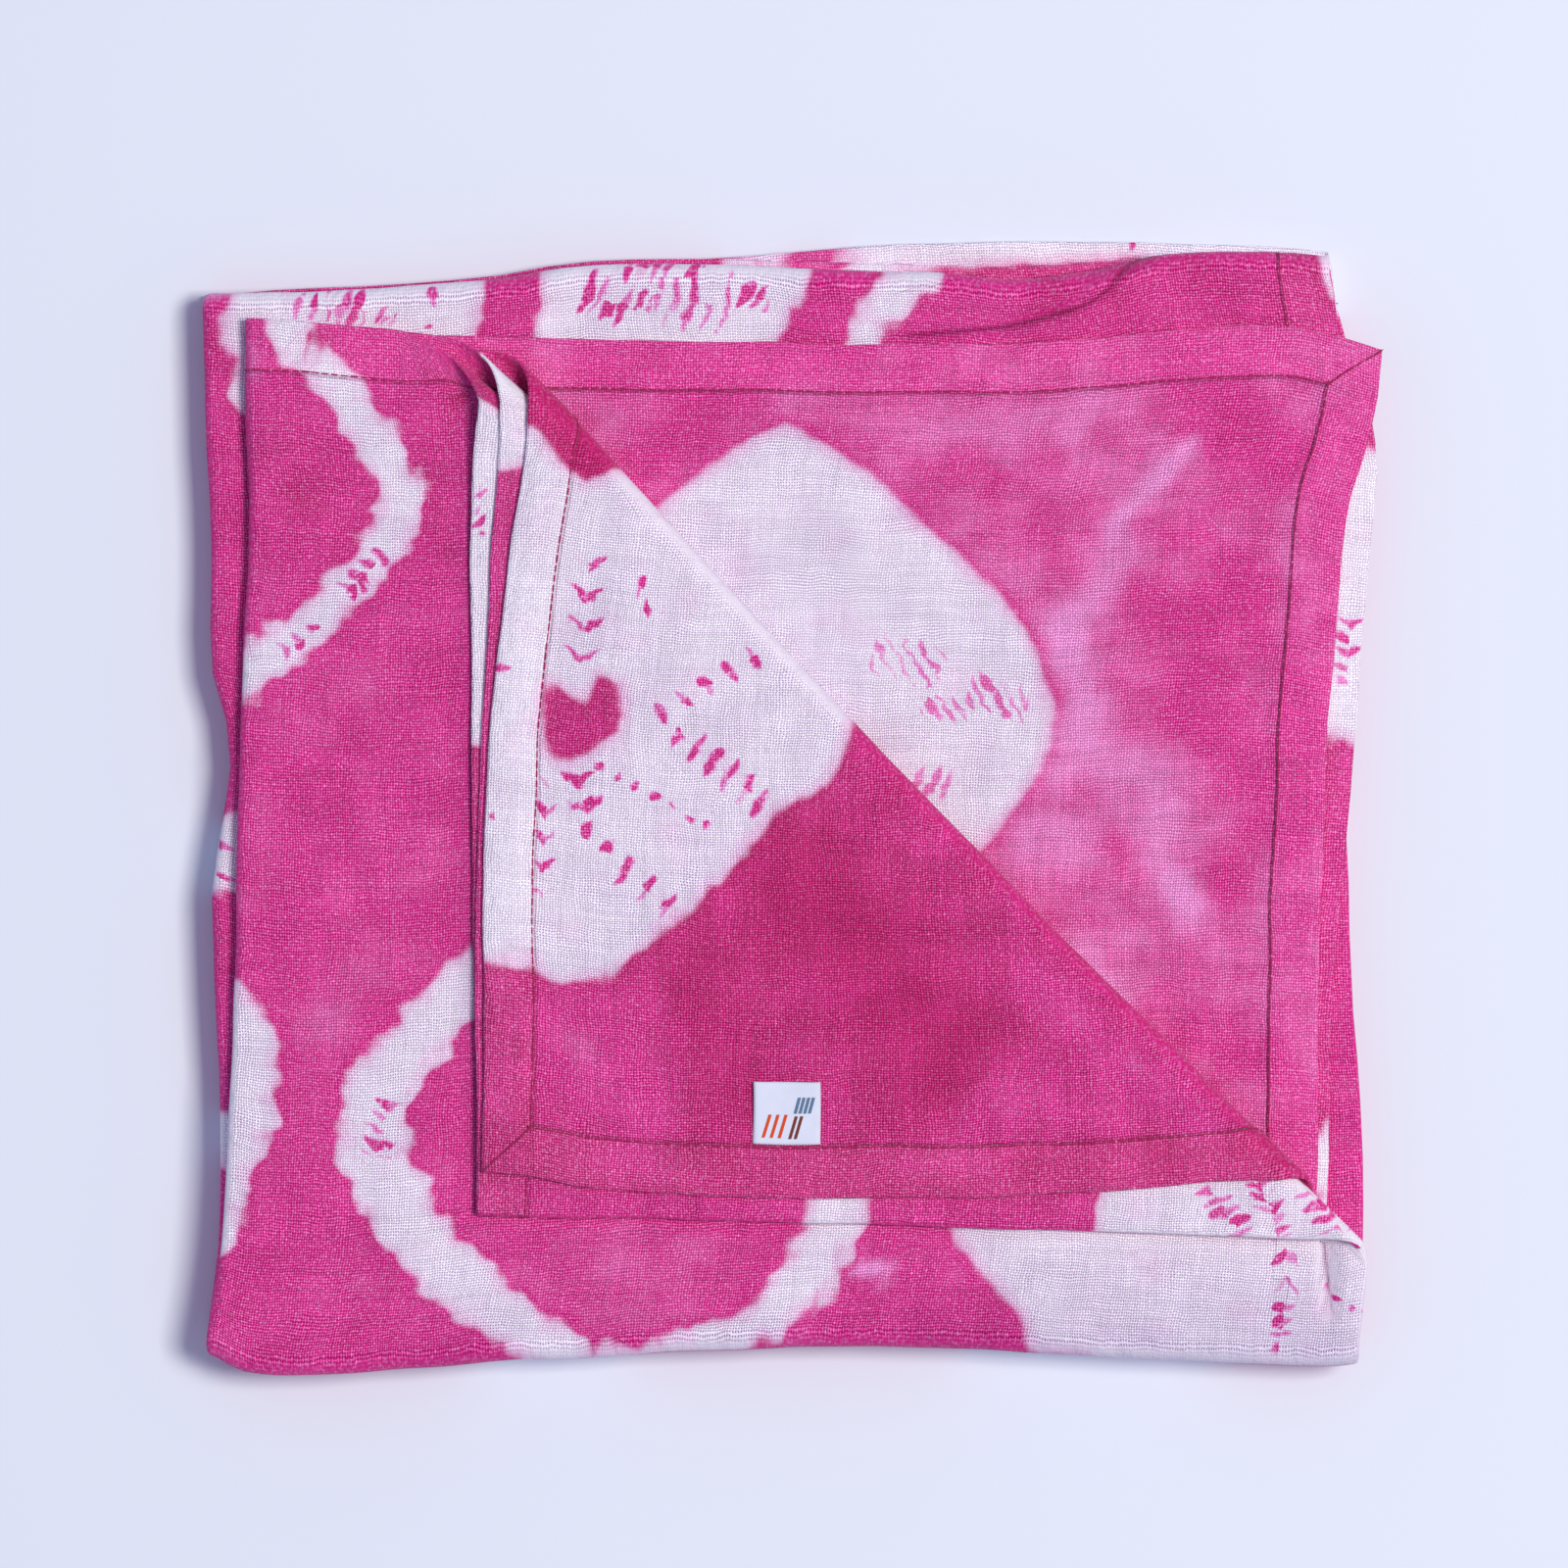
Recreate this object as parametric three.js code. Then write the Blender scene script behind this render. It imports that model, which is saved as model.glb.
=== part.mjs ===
// A swaddle blanket of dyed cotton muslin, folded into sixteen layers, with the corner of its three top
// layers turned back, and the woven label that is caught in its hem.
// Millimetres. X runs right and Y up as the folded blanket is seen from above, Z up from the table.
import * as THREE from "three";

// Cloth
const THICKNESS = 1.0;
const GAP = 0.4;
const PITCH = THICKNESS + GAP;

// The cloth across its width, from one side hem to the other: four columns, folded in half twice.
// width is the flat run, level counts layers from the bottom of the strip, heads is the way it runs.
const COLUMNS = [
  { name: "A", width: 295, level: 0, heads: -1 },
  { name: "D", width: 302, level: 3, heads: 1 },
  { name: "C", width: 302, level: 2, heads: -1 },
  { name: "B", width: 290, level: 1, heads: 1 },
];

// The folded strip down its length, from the top hem to the bottom hem: four rows, back and forth.
// faces is -1 where the strip lies upside down.
const ROWS = [
  { name: "first", width: 271, level: 3, heads: -1, faces: 1 },
  { name: "second", width: 281, level: 2, heads: 1, faces: -1 },
  { name: "third", width: 279, level: 1, heads: -1, faces: 1 },
  { name: "fourth", width: 287, level: 0, heads: 1, faces: -1 },
];
const STRIP = COLUMNS.length * PITCH - GAP;
const ROW_PITCH = STRIP + GAP;
const TOP = ROWS.length * ROW_PITCH - GAP;

// Where the outline of the folded blanket lies at its left and right, by the height y on the outline.
// The first row has edges of its own, the three low rows share theirs, and all meet at the bottom fold.
const SIDES = table(
  ["y", "left", "foldDC", "hemA", "hemB", "lowLeft", "lowFoldDC", "lowHem"],
  [
    [150, -145, 157, 157, 146, -157, 144, 142],
    [120, -145, 157, 157, 145, -156, 146, 146],
    [98, -144.5, 156.5, 153, 148, -155, 155, 155.5],
    [80, -143.5, 156, 148, 149, -154, 154, 155],
    [40, -145, 155.5, 144.5, 149, -153.5, 151, 151.5],
    [16, -146, 155, 142.5, 147.5, -149.5, 149, 149.5],
    [0, -146.5, 155, 142, 147, -151, 148, 148.5],
    [-20, -147, 155, 141, 145.5, -153.5, 148.5, 146.5],
    [-40, -147, 154.5, 140.5, 143.5, -153, 149, 144.5],
    [-80, -149, 154.5, 140, 139, -151.5, 152, 143],
    [-115, -151, 154, 139.5, 138, -152, 152.5, 142],
    [-140, -155, 151, 138, 138, -155, 151, 138],
  ],
);

// Where it lies at its top and bottom, by the distance x from the middle. D, C, A and B are the top hem
// of the first row, lowFold is the fold of rows two and three, lowA and lowHem the hem of row four.
const ENDS = table(
  ["x", "D", "C", "A", "B", "lowFold", "lowA", "lowHem", "bottom", "lowBottom"],
  [
    [-155, 129.7, 129.7, 129.7, 129.7, 137, 136.5, 136.5, -146.5, -143.5],
    [-145, 129.7, 129.7, 129.7, 129.7, 137, 137, 137, -149, -145.5],
    [-130, 129, 129, 127.5, 128, 137.3, 138.3, 137.8, -150.3, -147],
    [-100, 126.4, 126, 125.6, 124, 138.8, 139.4, 138.8, -149, -146],
    [-73, 128.4, 125, 124.9, 119, 141.4, 142.4, 141.7, -147, -144.5],
    [-50, 130.8, 124.3, 124.2, 117, 144.4, 145.6, 145, -146, -143.5],
    [-20, 130.8, 125, 123.8, 119.9, 144.4, 145.9, 146.1, -144.2, -142],
    [20, 129.2, 126, 123, 123.6, 142.7, 145.1, 149.5, -143.3, -141.5],
    [60, 127.4, 126, 123.2, 124.3, 140.1, 144, 150.8, -144.8, -142.5],
    [100, 125.3, 125, 126.5, 122.6, 147.2, 146, 150.2, -146.7, -144],
    [130, 123.5, 123.5, 128, 121.9, 147.7, 146, 149.1, -147.8, -145],
    [157, 122.7, 122.7, 121.7, 121.7, 144.6, 144, 146, -148.5, -145.5],
  ],
);
const NOMINAL = { bottom: -141, first: 126, low: 140 };

// The middle of the outline that these make, which becomes the origin
const MIDDLE = new THREE.Vector3(0.31, 0.48, 0);

// The turned back corner: three layers roll over a line that runs down to the right, given by the two
// points where their ridge meets the edges. The roll stands prouder at its ends than in its middle, where
// the ridge is also drawn in by the bow. Past the ridge the corner settles down to the layer below it.
const ROLL = {
  from: new THREE.Vector2(-73.8, 122.5),
  to: new THREE.Vector2(152.4, -112.6),
  layers: 3,
  room: 2.4,
  cloth: 12.6,
  endBulge: 1.3,
  bow: 2.2,
  bowReach: 40,
  settle: 1.6,
  settleReach: 45,
  pinch: 0.5,
  pinchReach: 4,
};

// Soft ridges in the top of the stack: a straight crest between two points, its half width and its rise.
const RIDGES = table(
  ["x0", "y0", "x1", "y1", "spread", "rise"],
  [
    [-150, 60, -150, -120, 30, 1.0],
    [-60, 40, 60, -90, 60, 1.2],
    [60, 80, 140, 20, 45, 0.9],
    [-120, -60, -100, -130, 45, 0.8],
    [110, -125, 150, -100, 30, 1.2],
  ],
);

// Label: a tab of woven tape, caught in the side hem of column B and lying on the turned back corner
const LABEL = {
  width: 18.5,
  length: 16.6,
  thickness: 0.8,
  clearance: 0.35,
  hem: 14,
  down: 82.5,
  steps: 4,
};

// Facets
const STEPS = { run: 8, sideTurn: 4, smallTurn: 3, endTurn: 4, roll: 6 };
const SNAP = 0.3;
const PROBE = 0.05;

function table(names, rows) {
  return rows.map((row) => Object.fromEntries(names.map((name, i) => [name, row[i]])));
}

// A column of a table read at a place between its rows, along a smooth curve through them.
function readAt(rows, key, column, at) {
  const way = Math.sign(rows[1][key] - rows[0][key]);
  const last = rows.length - 1;
  const found = rows.findIndex((row) => (row[key] - at) * way >= 0);
  if (found <= 0) return rows[found < 0 ? last : 0][column];
  const slope = (i) => {
    const before = rows[Math.max(i - 1, 0)];
    const after = rows[Math.min(i + 1, last)];
    return (after[column] - before[column]) / (after[key] - before[key]);
  };
  const start = rows[found - 1];
  const end = rows[found];
  const span = end[key] - start[key];
  const t = (at - start[key]) / span;
  const rise = t * t * (3 - 2 * t);
  return (
    start[column] * (1 - rise) +
    end[column] * rise +
    span * t * (1 - t) * ((1 - t) * slope(found - 1) - t * slope(found))
  );
}

// The length of cloth that each turn between two runs takes, and the two lists of runs with their turns.
const columnHeight = (column) => THICKNESS / 2 + column.level * PITCH;
const rowHeight = (row, inStrip) =>
  row.level * ROW_PITCH + STRIP / 2 + row.faces * (inStrip - STRIP / 2);
const halfTurn = (a, b) => (Math.PI * Math.abs(columnHeight(a) - columnHeight(b))) / 2;
const ACROSS = layOut(COLUMNS, halfTurn);
const DOWN = layOut(ROWS, () => (Math.PI * ROW_PITCH) / 2);
const CLOTH_WIDTH = ACROSS.at(-1).end;
const CLOTH_LENGTH = DOWN.at(-1).end;

// How far the outer layer of each turn stands proud of the line where the turn starts.
const BULGE = {
  left: (3 * PITCH + THICKNESS) / 2,
  right: (PITCH + THICKNESS) / 2,
  end: (ROW_PITCH + STRIP) / 2,
};

function layOut(runs, turnLength) {
  const stretches = [];
  let at = 0;
  runs.forEach((run, i) => {
    stretches.push({ run, start: at, end: at + run.width });
    at += run.width;
    const next = runs[i + 1];
    if (!next) return;
    const length = turnLength(run, next);
    stretches.push({ run, next, start: at, end: at + length });
    at += length;
  });
  return stretches;
}

// Where a distance along the cloth comes to lie: how far from the low edge to the high edge of its run,
// how far past that edge in a turn, and at what height.
function locate(stretches, distance, heightOf) {
  const stretch = stretches.find((s) => distance <= s.end) ?? stretches.at(-1);
  const t = (distance - stretch.start) / (stretch.end - stretch.start);
  const { run, next } = stretch;
  if (!next) return { run, share: run.heads > 0 ? t : 1 - t, past: 0, height: heightOf(run) };
  const middle = (heightOf(run) + heightOf(next)) / 2;
  const half = (heightOf(run) - heightOf(next)) / 2;
  return {
    run: t < 0.5 ? run : next,
    share: run.heads > 0 ? 1 : 0,
    past: Math.abs(half) * Math.sin(Math.PI * t) * run.heads,
    height: middle + half * Math.cos(Math.PI * t),
  };
}

const onRun = (low, high, place) => low + (high - low) * place.share;

function leftEdge(row, y) {
  return readAt(SIDES, "y", row.name === "first" ? "left" : "lowLeft", y) + BULGE.left;
}

function rightEdge(row, column, y) {
  const folded = column.name === "C" || column.name === "D";
  const name = folded ? "FoldDC" : "Hem";
  if (row.name !== "first") return readAt(SIDES, "y", "low" + name, y) - (folded ? BULGE.right : 0);
  if (folded) return readAt(SIDES, "y", "foldDC", y) - BULGE.right;
  return readAt(SIDES, "y", "hem" + column.name, y);
}

function topEdge(row, column, x) {
  if (row.name === "first") return readAt(ENDS, "x", column.name, x);
  if (row.name === "fourth") return readAt(ENDS, "x", column.name === "A" ? "lowA" : "lowHem", x);
  return readAt(ENDS, "x", "lowFold", x) - BULGE.end;
}

function bottomEdge(row, x) {
  const name = row.level > 1 ? "bottom" : "lowBottom";
  return readAt(ENDS, "x", name, x) + BULGE.end;
}

// The middle of the sheet at u across and v down the flat cloth, folded but with no corner turned back.
function foldedPoint(u, v) {
  const across = locate(ACROSS, u, columnHeight);
  const down = locate(DOWN, v, (row) => rowHeight(row, across.height));
  const high = down.run.name === "first" ? NOMINAL.first : NOMINAL.low;
  const nominal = onRun(NOMINAL.bottom, high, down);
  const x = onRun(leftEdge(down.run, nominal), rightEdge(down.run, across.run, nominal), across);
  const y = onRun(bottomEdge(down.run, x), topEdge(down.run, across.run, x), down);
  return { point: new THREE.Vector3(x + across.past, y + down.past, down.height), row: down.run };
}

// The line that the corner rolls over lies inside its ridge, by what the outer layer bulges at its ends.
const ROLL_HEIGHT = TOP + ROLL.room / 2;
const ROLL_REACH = ROLL.room / 2 + ROLL.layers * PITCH - GAP;
const STAYS_DOWN = -1e3;
const ROLLED_FOLD = ACROSS.find((stretch) => stretch.next && stretch.run.name === "D");
const ROLL_SPAN = ROLL.from.distanceTo(ROLL.to);
const ROLL_ALONG = ROLL.to.clone().sub(ROLL.from).normalize();
const ROLL_OUT = new THREE.Vector2(-ROLL_ALONG.y, ROLL_ALONG.x);
const LOWEST_ROLLED = TOP - ROLL.layers * PITCH;

// How far a folded point lies past the line of the roll, or far short of it for a layer that stays down.
function pastRoll({ point, row }) {
  const stays = row.name !== "first" || point.z < LOWEST_ROLLED;
  const out = (point.x - ROLL.from.x) * ROLL_OUT.x + (point.y - ROLL.from.y) * ROLL_OUT.y;
  return stays ? STAYS_DOWN : out + ROLL_REACH * ROLL.endBulge;
}

function rollOver(point, past) {
  const along = (point.x - ROLL.from.x) * ROLL_ALONG.x + (point.y - ROLL.from.y) * ROLL_ALONG.y;
  const inMiddle = Math.sin(Math.PI * THREE.MathUtils.clamp(along / ROLL_SPAN, 0, 1));
  const bulge = ROLL.endBulge + (1 - ROLL.endBulge) * inMiddle;
  const fromRidge = (past - ROLL.cloth / 2) / ROLL.bowReach;
  let moved = -ROLL.bow * inMiddle * Math.exp(-fromRidge * fromRidge);
  if (past > 0) {
    const angle = Math.PI * Math.min(past / ROLL.cloth, 1);
    const radius = ROLL_HEIGHT - point.z;
    moved += radius * bulge * Math.sin(angle) - Math.max(past - ROLL.cloth, 0) - past;
    point.z = ROLL_HEIGHT - radius * Math.cos(angle);
    point.z -= ROLL.settle * THREE.MathUtils.smoothstep(past - ROLL.cloth, 0, ROLL.settleReach);
  }
  point.x += ROLL_OUT.x * moved;
  point.y += ROLL_OUT.y * moved;
}

// The rise of the soft ridges, which grows from nothing in the bottom layer to all of it in the top one.
function lift(point) {
  const here = new THREE.Vector3(point.x, point.y, 0);
  const nearest = new THREE.Vector3();
  const rise = RIDGES.reduce((sum, ridge) => {
    const crest = new THREE.Line3(
      new THREE.Vector3(ridge.x0, ridge.y0, 0),
      new THREE.Vector3(ridge.x1, ridge.y1, 0),
    );
    const away = crest.closestPointToPoint(here, true, nearest).distanceTo(here) / ridge.spread;
    return sum + ridge.rise * Math.exp(-away * away);
  }, 0);
  return (rise * Math.max(point.z - THICKNESS, 0)) / (TOP - THICKNESS);
}

function middlePoint(u, v) {
  const folded = foldedPoint(u, v);
  rollOver(folded.point, pastRoll(folded));
  folded.point.z += lift(folded.point);
  return folded.point.sub(MIDDLE);
}

// A point at a height above the middle of the sheet, on the side that the hems are turned to.
function sheetPoint(u, v, above) {
  const across = middlePoint(u + PROBE, v).sub(middlePoint(u - PROBE, v));
  const down = middlePoint(u, v + PROBE).sub(middlePoint(u, v - PROBE));
  const up = across.cross(down).normalize();
  return middlePoint(u, v).addScaledVector(up, above * pinchedTo(u, v));
}

// The fold of D and C is pressed thinner where it is rolled over.
function pinchedTo(u, v) {
  if (u < ROLLED_FOLD.start || u > ROLLED_FOLD.end) return 1;
  const past = pastRoll(foldedPoint(u, v));
  return past > -ROLL.pinchReach && past < ROLL.cloth + ROLL.pinchReach ? ROLL.pinch : 1;
}

// The flat cloth as polygons between lines across and down, each a list of points [u, v].
function gridLines(stretches, steps) {
  const lines = [0];
  stretches.forEach((stretch) => {
    const count = steps(stretch);
    for (let i = 1; i <= count; i++) {
      lines.push(stretch.start + ((stretch.end - stretch.start) * i) / count);
    }
  });
  return lines;
}

function gridCells(across, down) {
  const cells = [];
  for (let i = 1; i < across.length; i++) {
    for (let j = 1; j < down.length; j++) {
      const corners = [
        [across[i - 1], down[j - 1]],
        [across[i], down[j - 1]],
        [across[i], down[j]],
        [across[i - 1], down[j]],
      ];
      cells.push(corners);
    }
  }
  return cells;
}

// Splits polygons along the line where a measured value passes a level. Both neighbours of an edge find
// the same crossing, because it is always searched from the same end.
function cutAlong(polygons, measure, level) {
  const side = (p) => {
    const off = measure(p) - level;
    return Math.abs(off) < SNAP ? 0 : Math.sign(off);
  };
  const crossing = (a, b) => {
    let [low, high] = a[0] < b[0] || (a[0] === b[0] && a[1] < b[1]) ? [a, b] : [b, a];
    const start = Math.sign(measure(low) - level);
    for (let i = 0; i < 40; i++) {
      const half = [(low[0] + high[0]) / 2, (low[1] + high[1]) / 2];
      if (Math.sign(measure(half) - level) === start) low = half;
      else high = half;
    }
    return low;
  };
  return polygons.flatMap((polygon) => {
    const sides = polygon.map(side);
    if (!sides.includes(1) || !sides.includes(-1)) return [polygon];
    const parts = { [-1]: [], 1: [] };
    polygon.forEach((p, i) => {
      const q = polygon[(i + 1) % polygon.length];
      const [here, next] = [sides[i], sides[(i + 1) % polygon.length]];
      for (const s of [-1, 1]) if (here === s || here === 0) parts[s].push(p);
      if (here * next !== -1) return;
      const cut = crossing(p, q);
      parts[-1].push(cut);
      parts[1].push(cut);
    });
    return [parts[-1], parts[1]].filter((part) => part.length > 2);
  });
}

// A closed solid from polygons of the flat cloth: its two faces, and a rim where an edge has one side.
function clothSolid(polygons, lowSide, highSide, pointAt) {
  const positions = [];
  const numbers = new Map();
  const flat = [];
  const numberOf = (p) => {
    const key = p[0].toFixed(4) + " " + p[1].toFixed(4);
    if (!numbers.has(key)) {
      numbers.set(key, flat.length);
      flat.push(p);
    }
    return numbers.get(key);
  };
  const faces = polygons.map((polygon) => polygon.map(numberOf));
  flat.forEach((p) => positions.push(pointAt(...p, lowSide)));
  flat.forEach((p) => positions.push(pointAt(...p, highSide)));
  const count = flat.length;
  const triangles = [];
  const edges = new Map();
  for (const face of faces) {
    const first = firstCorner(face, positions);
    for (let i = 1; i + 1 < face.length; i++) {
      const [a, b, c] = [0, i, i + 1].map((k) => face[(first + k) % face.length]);
      triangles.push([a + count, b + count, c + count], [a, c, b]);
    }
    face.forEach((a, i) => {
      const b = face[(i + 1) % face.length];
      if (!edges.delete(b + " " + a)) edges.set(a + " " + b, [a, b]);
    });
  }
  for (const [a, b] of edges.values()) triangles.push([a, b, b + count], [a, b + count, a + count]);
  const geometry = new THREE.BufferGeometry();
  geometry.setAttribute(
    "position",
    new THREE.Float32BufferAttribute(
      positions.flatMap((p) => p.toArray()),
      3,
    ),
  );
  geometry.setIndex(triangles.flat());
  geometry.computeVertexNormals();
  return geometry;
}

// Where the fan of triangles of a face starts: four corners are split along the diagonal that rises to the
// right in plan, so that layers which lie on each other have their facets alike.
function firstCorner(face, positions) {
  if (face.length !== 4) return 0;
  const diagonal = positions[face[2]].clone().sub(positions[face[0]]);
  return diagonal.x * diagonal.y >= 0 ? 0 : 1;
}

function blanketGeometry() {
  const across = gridLines(ACROSS, (stretch) => {
    if (!stretch.next) return STEPS.run;
    return stretch.run.name === "A" ? STEPS.sideTurn : STEPS.smallTurn;
  });
  const down = gridLines(DOWN, (stretch) => (stretch.next ? STEPS.endTurn : STEPS.run));
  const measure = ([u, v]) => pastRoll(foldedPoint(u, v));
  let polygons = gridCells(across, down);
  for (let i = 0; i <= STEPS.roll; i++) {
    polygons = cutAlong(polygons, measure, (ROLL.cloth * i) / STEPS.roll);
  }
  return clothSolid(polygons, -THICKNESS / 2, THICKNESS / 2, sheetPoint);
}

function labelGeometry() {
  const low = THICKNESS / 2 + LABEL.clearance;
  const cuts = Array.from({ length: LABEL.steps + 1 }, (_, i) => i / LABEL.steps);
  const inner = CLOTH_WIDTH - LABEL.hem - LABEL.length;
  const across = cuts.map((t) => inner + LABEL.length * t);
  const down = cuts.map((t) => LABEL.down + LABEL.width * (t - 0.5));
  return clothSolid(gridCells(across, down), low, low + LABEL.thickness, sheetPoint);
}

function named(name, geometry, finish) {
  const mesh = new THREE.Mesh(geometry, new THREE.MeshStandardMaterial(finish));
  mesh.name = name;
  return mesh;
}

const swaddle = new THREE.Group();
swaddle.add(
  named("blanket", blanketGeometry(), { color: 0xcb3c88, roughness: 0.92, metalness: 0 }),
  named("label", labelGeometry(), { color: 0xeeeef6, roughness: 0.8, metalness: 0 }),
);

export default swaddle;
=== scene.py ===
"""A swaddle blanket of dyed cotton muslin, folded into sixteen layers with the corner of the top
three turned back, and the small woven label in its hem.

The folds are worked out in millimetres, in the frame of the CAD model, and meshes are made in
metres. Places on the cloth's face are in steps across and down the photograph, 0.26 mm each.
"""

import logging
import math
from dataclasses import dataclass
from enum import IntEnum
from typing import Callable, Sequence

import bpy
import numpy as np
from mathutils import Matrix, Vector


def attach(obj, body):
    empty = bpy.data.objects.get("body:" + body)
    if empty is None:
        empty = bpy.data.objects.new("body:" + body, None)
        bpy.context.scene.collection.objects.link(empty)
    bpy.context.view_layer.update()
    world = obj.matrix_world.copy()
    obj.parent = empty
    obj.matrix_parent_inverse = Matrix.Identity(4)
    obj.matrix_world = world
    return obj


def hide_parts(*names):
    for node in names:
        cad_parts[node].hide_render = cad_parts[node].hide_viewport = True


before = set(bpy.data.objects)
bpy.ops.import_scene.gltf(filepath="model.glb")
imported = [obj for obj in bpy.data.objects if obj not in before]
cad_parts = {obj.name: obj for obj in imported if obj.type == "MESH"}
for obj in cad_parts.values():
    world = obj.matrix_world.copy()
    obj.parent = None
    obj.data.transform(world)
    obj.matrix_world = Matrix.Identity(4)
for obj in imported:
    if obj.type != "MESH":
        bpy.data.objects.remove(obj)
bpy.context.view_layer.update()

log = logging.getLogger("swaddle")

MM = 0.001
STEP = 0.26  # a step of the photograph, in millimetres
STEP_ORIGIN = (806.0, 824.0)  # the steps at which the fold is at zero
MIDDLE = (0.31, 0.48)  # the middle of the fold's outline, which is the frame's origin
OUTSIDE = -25.0  # the distance inside the white that stands for nowhere near it
MARKS_REACH = 3.4  # how near to a chain a facet still reads its marks, in millimetres

Colour = tuple[float, float, float]


def srgb(*levels: int) -> Colour:
    """A colour as a screen shows it, three levels from 0 to 255, in the renderer's values."""
    shares = [level / 255 for level in levels]
    return tuple(c / 12.92 if c <= 0.04045 else ((c + 0.055) / 1.055) ** 2.4 for c in shares)


def to_mm(places: Sequence[Sequence[float]]) -> np.ndarray:
    """Places in steps across and down the photograph, as x and y in millimetres."""
    return (np.array(places, dtype=float) - STEP_ORIGIN) * (STEP, -STEP)


# How the cloth is folded


class SizeTable:
    """Rows of sizes under named columns, read along a smooth curve through the rows."""

    def __init__(self, names: Sequence[str], rows: Sequence[Sequence[float]]) -> None:
        """Takes the table.

        Args:
            names: the names of its columns, the first of which is the key.
            rows: its rows, in any order.
        """
        values = np.array(sorted(rows), dtype=float)
        self.key = values[:, 0]
        self.columns = {name: values[:, i] for i, name in enumerate(names)}

    def read(self, name: str, at: np.ndarray) -> np.ndarray:
        """The values of a column at places between its rows.

        Args:
            name: the column.
            at: values of the key column.

        Returns:
            One value for each place.
        """
        key, values = self.key, self.columns[name]
        slopes = np.gradient(values, key)
        slopes[1:-1] = (values[2:] - values[:-2]) / (key[2:] - key[:-2])
        at = np.clip(at, key[0], key[-1])
        i = np.clip(np.searchsorted(key, at) - 1, 0, len(key) - 2)
        span = key[i + 1] - key[i]
        t = (at - key[i]) / span
        rise = t * t * (3 - 2 * t)
        bend = span * t * (1 - t) * ((1 - t) * slopes[i] - t * slopes[i + 1])
        return values[i] * (1 - rise) + values[i + 1] * rise + bend


class Column(IntEnum):
    """The four columns across the width of the cloth, in the order of the flat cloth."""

    A = 0
    D = 1
    C = 2
    B = 3


class Row(IntEnum):
    """The four rows down the length of the cloth, from the top hem to the bottom hem."""

    FIRST = 0
    SECOND = 1
    THIRD = 2
    FOURTH = 3


@dataclass(frozen=True)
class Run:
    """A flat stretch of the cloth between two turns.

    heads is 1 where it runs right or up and -1 where it runs back, and faces is -1 where it lies
    upside down.
    """

    width: float
    level: int
    heads: int
    faces: int = 1


@dataclass(frozen=True)
class Stretch:
    """A run, or the turn that follows it, with its start and end along the cloth."""

    run: int
    start: float
    end: float
    turns: bool = False


@dataclass
class Place:
    """Where distances along the cloth come to lie: in which run, how far along it and how high.

    past is how far a turn takes them beyond the run in plan, and unrolled how far along the cloth.
    """

    run: np.ndarray
    share: np.ndarray
    past: np.ndarray
    unrolled: np.ndarray
    height: np.ndarray


COLUMNS = (Run(295, 0, -1), Run(302, 3, 1), Run(302, 2, -1), Run(290, 1, 1))
ROWS = (Run(271, 3, -1, 1), Run(281, 2, 1, -1), Run(279, 1, -1, 1), Run(287, 0, 1, -1))

SIDES = SizeTable(
    ["y", "left", "foldDC", "hemA", "hemB", "lowLeft", "lowFoldDC", "lowHem"],
    [
        [150, -145, 157, 157, 146, -157, 142, 141],
        [137, -145, 157, 157, 145.5, -156, 144.5, 144],
        [120, -145, 157, 157, 145, -155.7, 147, 147],
        [98, -144.5, 156.5, 153, 148, -154.8, 155, 155.5],
        [80, -143.5, 156, 148, 149, -154, 154, 155],
        [40, -145, 155.5, 144.5, 149, -153.5, 151, 151.5],
        [27, -145.6, 155.2, 143.2, 148.2, -149.5, 150.5, 150.8],
        [14, -146.2, 155, 142.3, 147.4, -149.2, 149, 149.5],
        [0, -146.5, 155, 142, 147, -151, 148, 148.5],
        [-20, -147, 155, 141, 145.5, -153.5, 148.5, 146.5],
        [-40, -147, 154.5, 140.5, 143.5, -153, 149, 144.5],
        [-80, -149, 154.5, 140, 139, -151.5, 152, 143],
        [-115, -151, 154, 139.5, 138, -152, 152.5, 142],
        [-140, -155, 151, 138, 138, -155, 151, 138],
    ],
)

ENDS = SizeTable(
    ["x", "D", "C", "A", "B", "lowFold", "lowA", "lowHem", "bottom", "lowBottom"],
    [
        [-155, 129.7, 129.7, 129.7, 129.7, 137, 136.5, 136.5, -144.5, -142],
        [-145, 129.7, 129.7, 129.7, 129.7, 137, 137, 137, -149.8, -146],
        [-130, 129, 129, 127.5, 128, 137.3, 138.3, 137.8, -151, -148],
        [-100, 126.4, 126, 125.6, 124, 138.8, 139.4, 138.8, -149, -146],
        [-73, 128.4, 125, 124.9, 119, 141.4, 142.4, 141.7, -147, -144.5],
        [-50, 130.8, 124.3, 124.2, 117, 144.4, 145.6, 145, -146, -143.5],
        [-20, 130.8, 125, 123.8, 119.9, 144.4, 145.9, 146.1, -144.2, -142],
        [20, 129.2, 126, 123, 123.6, 142.9, 145.1, 149.5, -143.3, -141.5],
        [42, 128.2, 126, 123, 124.1, 142.2, 144.4, 150.3, -143.8, -141.8],
        [60, 127.4, 126, 123.2, 124.3, 140.6, 144, 150.8, -144.8, -142.5],
        [82, 126.2, 125.5, 124.6, 123.6, 143, 145.2, 150.6, -146.0, -143.4],
        [100, 125.3, 125, 126.5, 122.6, 147.2, 146, 150.2, -146.7, -144],
        [130, 123.5, 123.5, 128, 121.9, 147.7, 146, 149.1, -148.1, -145],
        [145, 123, 123, 125.2, 121.7, 146.3, 145, 147.5, -148.3, -145.3],
        [157, 122.7, 122.7, 121.7, 121.7, 144.6, 144, 146, -146.5, -144],
    ],
)


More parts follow.
